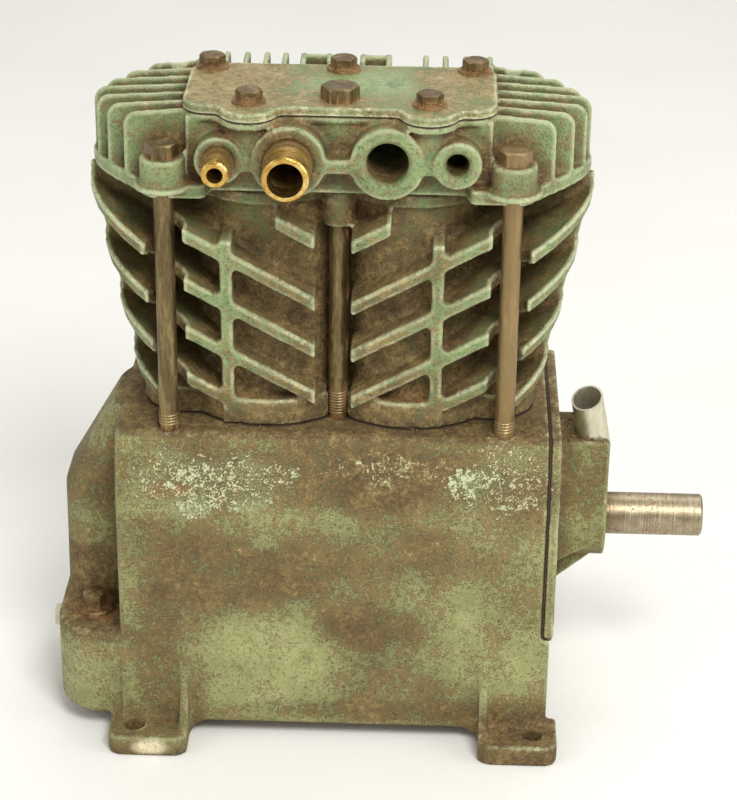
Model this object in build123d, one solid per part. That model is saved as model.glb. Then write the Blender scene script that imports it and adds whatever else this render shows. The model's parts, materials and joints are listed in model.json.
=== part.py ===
from build123d import *
import os
from math import cos, pi, radians, sin, sqrt

# Two-cylinder air compressor pump, millimetres.
# X runs along the crankshaft towards its drive end, Y to the back, Z up.
# The origin is the middle of the four foot bolts, on the surface the feet stand on.

# ---------------------------------------------------------------- crankcase
FOOT_SPACING_X = 237.0      # between foot bolt holes, along the crankshaft
FOOT_SPACING_Y = 164.0      # between foot bolt holes, front to back
FOOT_HOLE_R = 6.0
FOOT_WIDTH = 47.0
FOOT_EDGE = 15.0            # hole centre to the outer edges of a foot
FOOT_THICKNESS = 12.7
FOOT_CORNER_R = 8.0
BUTTRESS_HEIGHT = 52.0
FOOT_RIB = 5.5              # raised inner edge of a foot
CASE_LEFT = -127.0          # outer face of the blind end wall
CASE_RIGHT = 122.2          # machined face that takes the end housing
CASE_HALF_DEPTH = 72.0
CASE_BOTTOM = 9.0
CASE_WALL = 8.0
CASE_CORNER_R = 6.0
SHOULDER_Z = 150.0          # where the front and back faces start to lean in
DECK_Z = 199.0
DECK_HALF_DEPTH = 62.0
DECK_THICKNESS = 12.0
CRANK_Z = 119.5
BELLY_RISE = 12.0           # radius where the belly edge turns down into a foot
APRON_STEP = 4.8            # lower right end stands this far proud of the machined face

# blind end: bearing bulge above, oil filler sump below
BULGE_LENGTH = 36.5
BULGE_HALF_DEPTH = 32.0
BULGE_SLOPE_Z = 143.0
BULGE_EDGE_R = 18.0
SUMP_LENGTH = 40.0
SUMP_HALF_DEPTH = 70.0
SUMP_TOP = 68.0
SUMP_EDGE_R = 28.0
SUMP_WALL = 7.5

# ---------------------------------------------------------------- cylinders
BORE = 64.0
STROKE = 57.0
BORE_SPACING = 83.0
BLOCK_HEIGHT = 140.2
BASE_GASKET = 0.8
HEAD_GASKET = 1.0
BARREL_WALL = 10.0
BLOCK_FLANGE_R = 53.0
BLOCK_FOOT_HALF_LENGTH = 114.0
BLOCK_FOOT_HALF_DEPTH = 38.0
BLOCK_FOOT_CORNER_R = 26.0
BLOCK_FOOT_WALL = 16.0      # closed wall that the fins start above
BLOCK_TOP_FLANGE = 8.0
FIN_THICKNESS = 7.4
FIN_PITCH = 30.5
FIN_SLOPE = 0.57            # rise per length, going outwards from the middle
FIN_START_X = 16.0
FIN_START_Z = 80.5          # height above the block's foot of the first full fin at FIN_START_X
OUTER_FIN_X = 120.0
OUTER_FIN_Z = 115.8         # the same for the first fin beyond the tie bolts, at OUTER_FIN_X
FIN_INNER_LEFT = 12.5       # inner ends of the fins left and right of the middle
FIN_INNER_RIGHT = 7.5
STUB_RISE = 8.0             # the short top fins sit this much above the fins' pitch
FIN_TOP_HALF_LENGTH = 145.0
FIN_TOP_HALF_DEPTH = 64.0
FIN_FOOT_HALF_LENGTH = 116.0
FIN_FOOT_HALF_DEPTH = 51.0
FIN_FLAT = 90.0             # half length of the fins' straight front
FIN_RIB_LEFT = 62.0
FIN_RIB_RIGHT = 56.0
FIN_RIB_TOP = 37.0          # rib tops above the first full fin's start
END_RIB_INSET = 1.5
FIN_RIB_THICKNESS = 7.0

# ---------------------------------------------------------------- tie bolts
TIE_X = 96.0
TIE_Y = 54.0
TIE_R = 5.55
TIE_GROOVE_R = 10.5
TIE_BOSS_R = 12.5
TIE_BOSS_HEIGHT = 15.0
TIE_HEAD_AF = 16.6
TIE_HEAD_HEIGHT = 8.0
TIE_THREAD_DEPTH = 26.0
CENTRE_TIE_FRONT_Y = -33.6
CENTRE_TIE_BACK_Y = 36.5
CENTRE_TIE_AF = 18.6
CENTRE_BOSS_R = 9.25
CENTRE_BOSS_DROP = 21.0

# ---------------------------------------------------------------- cylinder head
HEAD_FLANGE = 8.0
HEAD_HALF_LENGTH = 141.0
HEAD_HALF_DEPTH = 60.0
HEAD_CORNER_IN_X = 73.0     # inner end of the front corner flanges
HEAD_CORNER_OUT_X = 103.0
HEAD_WAIST_Y = 43.0         # front edge of the middle of the flange
HEAD_TOP = 47.0             # top of the back fins above the head's underside
CORNER_LIP = 3.5            # flange round the foot of each tie bolt boss
CORNER_LIP_LOW = 4.5        # its underside above the head's underside
HEAD_CORE_HALF_LENGTH = 84.0
HEAD_ROOF = 11.0            # floor thickness between the cylinders and the chambers
END_FIN_COUNT = 7
END_FIN_FRONT_Y = -39.0
END_FIN_PITCH = 13.7
END_FIN_THICKNESS = 3.6
END_FIN_CORNER_R = 8.0
END_FIN_DROP = 1.8          # inner end of a fin's top edge below HEAD_TOP
END_FIN_OUTER_DROP = 5.2    # the same at the outer corner
BACK_FIN_THICKNESS = 3.4
BACK_FIN_X = (9.5, 24.7, 35.2, 45.9, 57.4, 68.9, 83.0)
PORT_Z = 22.0               # port axis above the head's underside
PORT_X = 27.0
PORT_BOSS_R = 20.5
PORT_R = 11.5
SMALL_PORT_X = 65.0
SMALL_PORT_BOSS_R = 13.5
SMALL_PORT_R = 6.2
PORT_CHAMFER = 2.6
PORT_WEB_SET_BACK = 1.0     # the web between the ports stands this far behind their faces
PORT_WEB_BELOW = 6.5
PORT_WEB_ABOVE = 1.5
CHAMBER_WALL = 7.0

# ---------------------------------------------------------------- head cover
COVER_THICKNESS = 4.4
COVER_GASKET = 0.6
COVER_RIM = 4.2
COVER_HALF_LENGTH = 86.0
COVER_FRONT_Y = -48.3
COVER_BACK_Y = 25.4
COVER_CORNER_R = 14.0
COVER_LOBE_X = 49.2
COVER_LOBE_Y = -46.6
COVER_LOBE_R = 16.0
COVER_BACK_BOLTS = ((-74.2, 16.9), (0.0, 16.9), (74.2, 16.9))
COVER_FRONT_BOLT_Y = -41.0
COVER_BOLT_R = 3.95
COVER_BOLT_AF = 13.0
COVER_BOLT_HEAD = 6.2
COVER_WASHER_R = 9.4
COVER_WASHER = 1.6
COVER_GAP = 0.8             # fins stand this far from the cover's edge

# ---------------------------------------------------------------- crank train
SHAFT_R = 12.7
SHAFT_END = 218.7
BEARING_JOURNAL_STEP = 2.3  # the bearing journals are this much larger than the shaft's end
JOURNAL_R = SHAFT_R + BEARING_JOURNAL_STEP
CRANKPIN_R = 13.0
WEB_THICKNESS = 10.0
WEB_HUB_R = 24.0
WEB_PIN_R = 18.0
COUNTERWEIGHT_R = 50.0
MIDDLE_SHAFT_R = 19.0
THROW_WIDTH = 20.0          # between the two webs of one throw
KEYWAY_WIDTH = 6.35
KEYWAY_DEPTH = 3.2
KEYWAY_LENGTH = 44.0
KEYWAY_MARGIN = 4.0         # end of the keyway to the end of the shaft
SHAFT_CHAMFER = 1.2
SHAFT_RING_INSET = 19.0     # turned line near the shaft's end
SHAFT_RING_WIDTH = 0.8
SHAFT_RING_DEPTH = 0.3
SEAL_JOURNAL_STEP = 0.8
SEAL_JOURNAL_R = SHAFT_R + SEAL_JOURNAL_STEP
BEARING_STEP = 4.0          # shoulder behind each bearing
BLIND_BEARING_DEPTH = 11.0  # far face of the blind bearing beyond the case's end wall
BEARING_R = 27.5
BEARING_WIDTH = 13.0
BEARING_BALLS = 11
BEARING_BALL_R = 3.57
BEARING_RACE_LAND = 2.8
SEAL_R = 20.0
SEAL_WIDTH = 8.0

COMPRESSION_HEIGHT = 38.0   # wrist pin to crown
PISTON_SKIRT = 25.0         # wrist pin to the skirt's lower edge
PISTON_WALL = 5.5
PISTON_CROWN = 8.0
RING_HEIGHT = 2.4
RING_DEPTH = 3.0
RING_PITCH = 6.5
RING_COUNT = 3
WRIST_PIN_R = 8.0
WRIST_PIN_BORE_R = 4.5
WRIST_BOSS_R = 13.0
CLIP_WIDTH = 1.2
ROD_SMALL_END_R = 13.5
ROD_BIG_END_R = 20.5
ROD_BOLT_Y = 19.5
ROD_BOLT_R = 3.5
ROD_BOLT_AF = 10.0
ROD_LUG_HALF_WIDTH = 26.0
ROD_LUG_HEIGHT = 13.0
ROD_SHANK_TOP = 8.5
ROD_SHANK_FOOT = 11.5
ROD_WEB = 7.0
DIPPER_LENGTH = 20.0

# ---------------------------------------------------------------- end housing
HOUSING_GASKET = 0.8
HOUSING_PLATE = 6.0
HOUSING_BOSS_LENGTH = 31.0
HOUSING_BORE_GAP = 0.7      # round the shoulder behind the drive bearing
HOUSING_BOSS_HALF_DEPTH = 20.5
HOUSING_BOSS_TOP = 177.5
HOUSING_BOSS_R = 25.0
HOUSING_SPIGOT_R = 55.0
HOUSING_PLATE_EDGE_Z = 74.0
HOUSING_PLATE_LOW_Z = 46.0
HOUSING_SCREW_R = 3.9
HOUSING_SCREW_HEAD_R = 7.5
HOUSING_RIB = 6.0
TUBE_R = 9.5
TUBE_WALL = 1.2
TUBE_X_FROM_PLATE = 21.0
TUBE_Y = -7.5
TUBE_LEAN = 11.0
TUBE_LENGTH = 42.0
TUBE_DEPTH = 10.0           # how far the tube goes into the housing
TUBE_CUT = 23.0             # where the slanting cut crosses the tube's axis
TUBE_CUT_TILT = 20.0
TUBE_CUT_TURN = -5.0

# ---------------------------------------------------------------- fittings
NIPPLE_R = 12.7
NIPPLE_BORE_R = 9.75
NIPPLE_COLLAR_R = 13.6
NIPPLE_COLLAR = 6.5
NIPPLE_LENGTH = 26.0
PILOT_R = 7.5
PILOT_BORE_R = 4.4
PILOT_COLLAR_R = 8.8
PILOT_COLLAR = 5.0
PILOT_LENGTH = 21.0
NIPPLE_THREAD = 14.0
FILL_PLUG_X = -145.0
FILL_PLUG_Y = -43.0
FILL_PLUG_AF = 12.5
FILL_PLUG_COLLAR_R = 10.8
FILL_PLUG_COLLAR = 3.0
FILL_PLUG_R = 8.0
FILL_PLUG_HEX = 11.0
DRAIN_PLUG_Z = 41.0
DRAIN_PLUG_Y = -6.0
DRAIN_PLUG_R = 5.0
DRAIN_PLUG_AF = 10.0
DRAIN_PLUG_HEAD = 8.5

# ---------------------------------------------------------------- valves
VALVE_PORT_R = 6.5
VALVE_DISC_R = 9.5
VALVE_DISC = 1.2
VALVE_GUARD_R = 12.5
VALVE_GUARD_WALL = 2.0
VALVE_SPRING_R = 5.0
VALVE_SPRING_WIRE = 0.5
VALVE_SPRING_LENGTH = 5.0
INLET_VALVE_Y = 8.0
DISCHARGE_VALVE_Y = -21.2
DISCHARGE_VALVE_SHIFT = 13.2    # further from the middle than the cylinder's axis

# ---------------------------------------------------------------- clearances
THREAD_CLEARANCE = 0.05
HOLE_CLEARANCE = 0.5
RUNNING = 0.03
SPIGOT_CLEARANCE = 0.1
PISTON_CLEARANCE = 0.08
END_PLAY = 0.1
CROWN_CLEARANCE = 0.6

# ---------------------------------------------------------------- worked-out places
CRANK_RADIUS = STROKE / 2
BORE_R = BORE / 2
CYLINDER_X = (-BORE_SPACING / 2, BORE_SPACING / 2)
BLOCK_Z = DECK_Z + BASE_GASKET
BLOCK_TOP = BLOCK_Z + BLOCK_HEIGHT
HEAD_Z = BLOCK_TOP + HEAD_GASKET
BARREL_R = BORE_R + BARREL_WALL
CHAMBER_FLOOR = HEAD_Z + HEAD_ROOF
RIM_TOP = HEAD_Z + HEAD_TOP - COVER_RIM / 2
COVER_Z = RIM_TOP + COVER_GASKET
COVER_TOP = COVER_Z + COVER_THICKNESS
PORT_FACE_Y = -HEAD_HALF_DEPTH
ROD_LENGTH = BLOCK_TOP - CROWN_CLEARANCE - COMPRESSION_HEIGHT - CRANK_Z - CRANK_RADIUS
PLATE_X = CASE_RIGHT + HOUSING_GASKET
PLATE_OUT_X = PLATE_X + HOUSING_PLATE
BOSS_END_X = PLATE_OUT_X + HOUSING_BOSS_LENGTH
BEARING_PITCH_R = (BEARING_R + JOURNAL_R) / 2
DRIVE_BEARING_X = PLATE_X - BEARING_WIDTH
BLIND_BEARING_X = CASE_LEFT - BLIND_BEARING_DEPTH
BLIND_SEAT_X = CASE_LEFT + CASE_WALL
SUMP_X = CASE_LEFT - SUMP_LENGTH
LOWEST = (Align.CENTER, Align.CENTER, Align.MIN)
CORNER = (Align.MIN, Align.MIN, Align.MIN)


def block(x0, x1, y0, y1, z0, z1):
    """A box given by its two corners on each axis."""
    return Pos(x0, y0, z0) * Box(x1 - x0, y1 - y0, z1 - z0, align=CORNER)


def rod_x(radius, x0, x1, y, z):
    """A round bar along X."""
    return Pos(x0, y, z) * Rot(0, 90, 0) * Cylinder(radius, x1 - x0, align=LOWEST)


def rod_y(radius, x, y0, y1, z):
    """A round bar along Y."""
    return Pos(x, y0, z) * Rot(-90, 0, 0) * Cylinder(radius, y1 - y0, align=LOWEST)


def rod_z(radius, x, y, z0, z1):
    """A round bar along Z."""
    return Pos(x, y, z0) * Cylinder(radius, z1 - z0, align=LOWEST)


def both_ways(solid):
    """The solid and its mirror image front to back."""
    return solid + mirror(solid, Plane.XZ)


def hex_head(flats, height, x, y, z):
    """A hexagon bolt head with its upper corners turned off."""
    corner = flats / sqrt(3)
    prism = Pos(x, y, z) * extrude(RegularPolygon(corner, 6), height)
    turned = Cylinder(corner, height, align=LOWEST)
    turned = chamfer(turned.edges().sort_by(Axis.Z)[-1], height * 0.12, height * 0.28)
    return prism & (Pos(x, y, z) * turned)


def face_yz(points, x):
    """A flat face at one X, through (y, z) points."""
    outline = Polyline(*points, close=True)
    return Plane.YZ.offset(x) * make_face(outline)


def section_case(x):
    """The crankcase's upright outline at one X."""
    lean_y = (CASE_HALF_DEPTH + DECK_HALF_DEPTH) / 2 + 2.4
    lean_z = (SHOULDER_Z + DECK_Z) / 2
    deep = CASE_HALF_DEPTH
    lines = [
        Line((-deep, CASE_BOTTOM), (-deep, SHOULDER_Z)),
        ThreePointArc((-deep, SHOULDER_Z), (-lean_y, lean_z), (-DECK_HALF_DEPTH, DECK_Z)),
        Line((-DECK_HALF_DEPTH, DECK_Z), (DECK_HALF_DEPTH, DECK_Z)),
        ThreePointArc((DECK_HALF_DEPTH, DECK_Z), (lean_y, lean_z), (deep, SHOULDER_Z)),
        Line((deep, SHOULDER_Z), (deep, CASE_BOTTOM)),
        Line((deep, CASE_BOTTOM), (-deep, CASE_BOTTOM)),
    ]
    return Plane.YZ.offset(x) * make_face(lines)


def low_edge_face(x, drop, top):
    """The outline under (top False) or over the end plate's curved lower edge."""
    deep = CASE_HALF_DEPTH
    edge_z = HOUSING_PLATE_EDGE_Z - drop
    far_z = DECK_Z + 1 if top else CASE_BOTTOM
    lines = [
        ThreePointArc((-deep, edge_z), (0, HOUSING_PLATE_LOW_Z - drop), (deep, edge_z)),
        Line((deep, edge_z), (deep, far_z)),
        Line((deep, far_z), (-deep, far_z)),
        Line((-deep, far_z), (-deep, edge_z)),
    ]
    return Plane.YZ.offset(x) * make_face(lines)


# ---------------------------------------------------------------- crankcase

def foot(side):
    """One front foot with the buttress that runs up the wall; side is -1 or 1."""
    out_x = FOOT_SPACING_X / 2 + FOOT_EDGE
    in_x = out_x - FOOT_WIDTH
    front = -FOOT_SPACING_Y / 2 - FOOT_EDGE
    wall = -CASE_HALF_DEPTH
    pad = block(in_x, out_x, front, wall + CASE_WALL, 0, FOOT_THICKNESS)
    pad = fillet(pad.edges().filter_by(Axis.Z).group_by(Axis.Y)[0], FOOT_CORNER_R)
    hole_back = -FOOT_SPACING_Y / 2 + FOOT_HOLE_R + 1
    ramp_points = [
        (wall + CASE_WALL, 0),
        (hole_back, 0),
        (hole_back, FOOT_THICKNESS),
        (wall - 2, FOOT_THICKNESS + 12),
        (wall - 0.3, BUTTRESS_HEIGHT),
        (wall + CASE_WALL, BUTTRESS_HEIGHT),
    ]
    rib_points = [
        (wall + CASE_WALL, 0),
        (front + 4, 0),
        (front + 4, FOOT_THICKNESS),
        (wall - 9, FOOT_THICKNESS + 7),
        (wall - 3.5, FOOT_THICKNESS + 26),
        (wall, BUTTRESS_HEIGHT + 8),
        (wall + CASE_WALL, BUTTRESS_HEIGHT + 8),
    ]
    case_end = CASE_RIGHT if side > 0 else -CASE_LEFT
    ramp = extrude(face_yz(ramp_points, in_x), case_end - in_x)
    ramp += extrude(face_yz(rib_points, in_x), FOOT_RIB)
    corner = block(in_x - BELLY_RISE, in_x, wall, wall + CASE_WALL, 0, CASE_BOTTOM + 1)
    corner -= rod_y(BELLY_RISE, in_x - BELLY_RISE, wall - 1, wall + CASE_WALL + 1,
                    CASE_BOTTOM - BELLY_RISE)
    body = pad + ramp + corner
    if side < 0:
        body = mirror(body, Plane.YZ)
    return body


def blind_end():
    """The bulge over the blind bearing and the sump with the filler ledge."""
    wall = CASE_LEFT + CASE_WALL
    out = CASE_LEFT - BULGE_LENGTH
    outline = Polyline((wall, DECK_Z), (CASE_LEFT - 5, DECK_Z - 2), (out, BULGE_SLOPE_Z),
                       (out - 1, CASE_BOTTOM + 20), (wall, CASE_BOTTOM + 20), close=True)
    bulge = extrude(Plane.XZ * make_face(outline), BULGE_HALF_DEPTH, both=True)
    bulge = fillet(bulge.edges().filter_by(Axis.Y).sort_by(Axis.X)[:1], 1.0)
    long_edges = bulge.edges().filter_by(GeomType.LINE)
    side_edges = [e for e in long_edges
                  if abs(abs(e.center().Y) - BULGE_HALF_DEPTH) < 0.01
                  and e.center().X < CASE_LEFT - 6 and e.center().Z > SUMP_TOP
                  and abs(e.tangent_at(0.5).Y) < 0.5]
    bulge = fillet(side_edges, BULGE_EDGE_R)
    sump = block(SUMP_X, wall, -SUMP_HALF_DEPTH, SUMP_HALF_DEPTH, CASE_BOTTOM, SUMP_TOP)
    sump = fillet(sump.edges().filter_by(Axis.Z).group_by(Axis.X)[0], SUMP_EDGE_R)
    sump = fillet(sump.edges().group_by(Axis.Z)[-1], 3.0)
    sump = chamfer(sump.edges().group_by(Axis.Z)[0], 4.0)
    return bulge + sump


def tie_bolt_places():
    """Plan positions of the four outer tie bolts."""
    return [(x, y) for x in (-TIE_X, TIE_X) for y in (-TIE_Y, TIE_Y)]


def centre_tie_places():
    """Plan positions of the two tie bolts between the cylinders."""
    return [(0, CENTRE_TIE_FRONT_Y), (0, CENTRE_TIE_BACK_Y)]


def housing_screw_places():
    """The (y, z) positions of the screws that hold the end housing."""
    low_y = CASE_HALF_DEPTH - 9
    high_y = DECK_HALF_DEPTH - 8
    return [(side * y, z) for side in (-1, 1)
            for y, z in ((low_y, HOUSING_PLATE_EDGE_Z + 12), (low_y, SHOULDER_Z - 6),
                         (high_y, DECK_Z - 12))]


def make_crankcase():
    """The hollow iron case with its feet, blind end, deck and bolt bosses."""
    shell = extrude(section_case(CASE_LEFT), CASE_RIGHT - CASE_LEFT)
    shell = fillet(shell.edges().filter_by(Axis.X).group_by(Axis.Z)[-1], 5.0)
    left_edges = shell.faces().sort_by(Axis.X)[0].edges()
    shell = fillet(left_edges, CASE_CORNER_R / 2)
    apron = extrude(low_edge_face(CASE_RIGHT, 1.0, False), APRON_STEP)
    shell += both_ways(foot(-1)) + both_ways(foot(1)) + blind_end() + apron

    inner_y = CASE_HALF_DEPTH - CASE_WALL
    room = block(BLIND_SEAT_X, CASE_RIGHT - CASE_WALL, -inner_y, inner_y,
                 CASE_BOTTOM + CASE_WALL, DECK_Z - DECK_THICKNESS)
    roof_y = DECK_HALF_DEPTH - CASE_WALL - 1
    corner_cut = [(inner_y + 1, SHOULDER_Z), (inner_y, SHOULDER_Z),
                  (roof_y, DECK_Z - DECK_THICKNESS), (roof_y, DECK_Z), (inner_y + 1, DECK_Z)]
    wedge = extrude(face_yz(corner_cut, BLIND_SEAT_X - 1), CASE_RIGHT - CASE_LEFT)
    room -= both_ways(wedge)
    for x, y in tie_bolt_places():
        room -= rod_z(TIE_R + 5, x, y, DECK_Z - TIE_THREAD_DEPTH - 8, DECK_Z)
    for x, y in centre_tie_places():
        room -= rod_z(TIE_R + 4, x, y, DECK_Z - TIE_THREAD_DEPTH - 8, DECK_Z)
    sump_y = inner_y - 1
    sump_room = block(SUMP_X + SUMP_WALL, BLIND_SEAT_X + 1, -sump_y, sump_y,
                      CASE_BOTTOM + CASE_WALL, SUMP_TOP - SUMP_WALL)
    sump_room = fillet(sump_room.edges().filter_by(Axis.Z).group_by(Axis.X)[0],
                       SUMP_EDGE_R - SUMP_WALL)
    case = shell - room - sump_room
    case -= rod_x(HOUSING_SPIGOT_R + SPIGOT_CLEARANCE, CASE_RIGHT - CASE_WALL - 1,
                  CASE_RIGHT + 1, 0, CRANK_Z)
    case -= rod_x(BEARING_R, BLIND_BEARING_X, BLIND_SEAT_X + 1, 0, CRANK_Z)
    case -= rod_x(BEARING_R - 5, BLIND_BEARING_X - 8, BLIND_BEARING_X + 1, 0, CRANK_Z)
    for x in CYLINDER_X:
        case -= rod_z(BORE_R + 3, x, 0, DECK_Z - DECK_THICKNESS - 1, DECK_Z + 1)
    for x, y in tie_bolt_places() + centre_tie_places():
        case -= rod_z(TIE_R + THREAD_CLEARANCE, x, y, DECK_Z - TIE_THREAD_DEPTH, DECK_Z + 1)
    for x in (-FOOT_SPACING_X / 2, FOOT_SPACING_X / 2):
        for y in (-FOOT_SPACING_Y / 2, FOOT_SPACING_Y / 2):
            case -= rod_z(FOOT_HOLE_R, x, y, -1, FOOT_THICKNESS + BUTTRESS_HEIGHT)
    for y, z in housing_screw_places():
        case -= rod_x(HOUSING_SCREW_R + THREAD_CLEARANCE, CASE_RIGHT - 12, CASE_RIGHT + 1, y, z)
    case -= rod_z(FILL_PLUG_R + THREAD_CLEARANCE, FILL_PLUG_X, FILL_PLUG_Y,
                  SUMP_TOP - SUMP_WALL - 1, SUMP_TOP + 1)
    case -= rod_x(DRAIN_PLUG_R + THREAD_CLEARANCE, SUMP_X - 1, SUMP_X + SUMP_WALL + 1,
                  DRAIN_PLUG_Y, DRAIN_PLUG_Z)
    return case


# ---------------------------------------------------------------- end housing

def make_end_housing():
    """The drive end plate with its bearing seat, seal boss and ribs."""
    whole = extrude(section_case(PLATE_X), HOUSING_PLATE)
    plate = whole & extrude(low_edge_face(PLATE_X, 0, True), HOUSING_PLATE)
    spigot = rod_x(HOUSING_SPIGOT_R, PLATE_X - BEARING_WIDTH - 2, PLATE_X, 0, CRANK_Z)
    half = HOUSING_BOSS_HALF_DEPTH
    tower = block(PLATE_OUT_X - 1, BOSS_END_X, -half, half, CRANK_Z, HOUSING_BOSS_TOP)
    tower = fillet(tower.edges().filter_by(Axis.Y).group_by(Axis.Z)[-1].sort_by(Axis.X)[-1:], 3)
    boss = rod_x(HOUSING_BOSS_R, PLATE_OUT_X - 1, BOSS_END_X, 0, CRANK_Z)
    rib_foot = CRANK_Z - HOUSING_BOSS_R
    rib_face = Polyline((PLATE_OUT_X - 1, rib_foot - 24), (BOSS_END_X - 4, rib_foot),
                        (BOSS_END_X - 4, CRANK_Z), (PLATE_OUT_X - 1, CRANK_Z), close=True)
    rib = extrude(Plane.XZ * make_face(rib_face), HOUSING_RIB / 2, both=True)
    side_face = Polyline((PLATE_OUT_X - 1, CRANK_Z - 24), (BOSS_END_X - 1, CRANK_Z - 6),
                         (BOSS_END_X - 1, CRANK_Z + 2), (PLATE_OUT_X - 1, CRANK_Z + 2),
                         close=True)
    side_rib = extrude(Plane.XZ * make_face(side_face), -HOUSING_RIB)
    side_ribs = both_ways(Pos(0, half - HOUSING_RIB + 2.5, 0) * side_rib)
    body = plate + spigot + tower + boss + rib + side_ribs
    body -= rod_x(BEARING_R, DRIVE_BEARING_X - 3, PLATE_X, 0, CRANK_Z)
    shoulder_r = JOURNAL_R + BEARING_STEP + HOUSING_BORE_GAP
    body -= rod_x(shoulder_r, PLATE_X - 1, BOSS_END_X - SEAL_WIDTH, 0, CRANK_Z)
    body -= rod_x(SEAL_R, BOSS_END_X - SEAL_WIDTH, BOSS_END_X + 1, 0, CRANK_Z)
    for y, z in housing_screw_places():
        body -= rod_x(HOUSING_SCREW_R + HOLE_CLEARANCE / 2, PLATE_X - 1, PLATE_OUT_X, y, z)
        body -= countersink(y, z, 0)
    body -= tube_core(TUBE_R, -TUBE_DEPTH, TUBE_R)
    return body


def countersink(y, z, shrink):
    """The conical seat of one end housing screw."""
    depth = HOUSING_SCREW_HEAD_R - HOUSING_SCREW_R
    cone = Cone(HOUSING_SCREW_R - shrink, HOUSING_SCREW_HEAD_R - shrink, depth, align=LOWEST)
    return Pos(PLATE_OUT_X - depth, y, z) * Rot(0, 90, 0) * cone


def make_housing_screws():
    """Countersunk screws that hold the end housing."""
    screws = []
    for y, z in housing_screw_places():
        screw = rod_x(HOUSING_SCREW_R, CASE_RIGHT - 11.5, PLATE_OUT_X - 3, y, z)
        screw += countersink(y, z, THREAD_CLEARANCE)
        slot = block(PLATE_OUT_X - 1.2, PLATE_OUT_X + 1, y - 0.8, y + 0.8, z - 9, z + 9)
        screws.append(screw - slot)
    return Compound(screws)


def make_housing_gasket():
    """The paper gasket behind the end housing."""
    whole = extrude(section_case(CASE_RIGHT), HOUSING_GASKET)
    gasket = whole & extrude(low_edge_face(CASE_RIGHT, 0, True), HOUSING_GASKET)
    gasket -= rod_x(HOUSING_SPIGOT_R + SPIGOT_CLEARANCE, CASE_RIGHT - 1, PLATE_X + 1, 0, CRANK_Z)
    for y, z in housing_screw_places():
        gasket -= rod_x(HOUSING_SCREW_R + HOLE_CLEARANCE / 2, CASE_RIGHT - 1, PLATE_X + 1, y, z)
    return gasket


def tube_core(radius, start, end):
    """A round bar on the leaning axis of the breather tube; 0 is the boss's top."""
    place = Pos(PLATE_OUT_X + TUBE_X_FROM_PLATE, TUBE_Y, HOUSING_BOSS_TOP) * Rot(0, -TUBE_LEAN, 0)
    return place * Pos(0, 0, start) * Cylinder(radius, end - start, align=LOWEST)


def make_breather_tube():
    """The steel vent tube, cut off at a slant."""
    tube = tube_core(TUBE_R - THREAD_CLEARANCE, -TUBE_DEPTH, TUBE_LENGTH)
    tube -= tube_core(TUBE_R - TUBE_WALL, -TUBE_DEPTH - 1, TUBE_LENGTH + 1)
    place = Pos(PLATE_OUT_X + TUBE_X_FROM_PLATE, TUBE_Y, HOUSING_BOSS_TOP) * Rot(0, -TUBE_LEAN, 0)
    knife = place * Pos(0, 0, TUBE_CUT) * Rot(TUBE_CUT_TILT, TUBE_CUT_TURN, 0)
    return tube - knife * Box(80, 80, 60, align=LOWEST)


# ---------------------------------------------------------------- crank train

def throw_x(number):
    """Middle of one throw; the two are numbered 0 and 1."""
    return CYLINDER_X[number]


def throw_z(number):
    """Crankpin height at rest: the first throw is up and the second is down."""
    return CRANK_Z + (CRANK_RADIUS if number == 0 else -CRANK_RADIUS)


def web(x0, number):
    """One crank cheek with its counterweight."""
    x1 = x0 + WEB_THICKNESS
    pin_z = throw_z(number)
    low, high = sorted((CRANK_Z, pin_z))
    arm = rod_x(WEB_HUB_R, x0, x1, 0, CRANK_Z) + rod_x(WEB_PIN_R, x0, x1, 0, pin_z)
    arm += block(x0, x1, -WEB_PIN_R, WEB_PIN_R, low, high)
    disc = rod_x(COUNTERWEIGHT_R, x0, x1, 0, CRANK_Z)
    if number == 0:
        side = block(x0, x1, -COUNTERWEIGHT_R, COUNTERWEIGHT_R, CRANK_Z - COUNTERWEIGHT_R,
                     CRANK_Z - 8)
    else:
        side = block(x0, x1, -COUNTERWEIGHT_R, COUNTERWEIGHT_R, CRANK_Z + 8,
                     CRANK_Z + COUNTERWEIGHT_R)
    return arm + (disc & side)


def journal(x0, x1, radius):
    """One round length of the crankshaft."""
    return rod_x(radius, x0, x1, 0, CRANK_Z)


def make_crankshaft_blind_end():
    """The journal in the blind bearing and the first cheek."""
    cheek_x = CYLINDER_X[0] - THROW_WIDTH / 2 - WEB_THICKNESS
    end = journal(BLIND_BEARING_X, cheek_x + 1, JOURNAL_R - RUNNING)
    end += journal(BLIND_BEARING_X + BEARING_WIDTH, cheek_x + 1, JOURNAL_R + BEARING_STEP)
    return end + web(cheek_x, 0)


def make_crankshaft_middle():
    """The two inner cheeks and the shaft between them."""
    left = CYLINDER_X[0] + THROW_WIDTH / 2
    right = CYLINDER_X[1] - THROW_WIDTH / 2
    middle = journal(left + 1, right - 1, MIDDLE_SHAFT_R)
    return middle + web(left, 0) + web(right - WEB_THICKNESS, 1)


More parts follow.
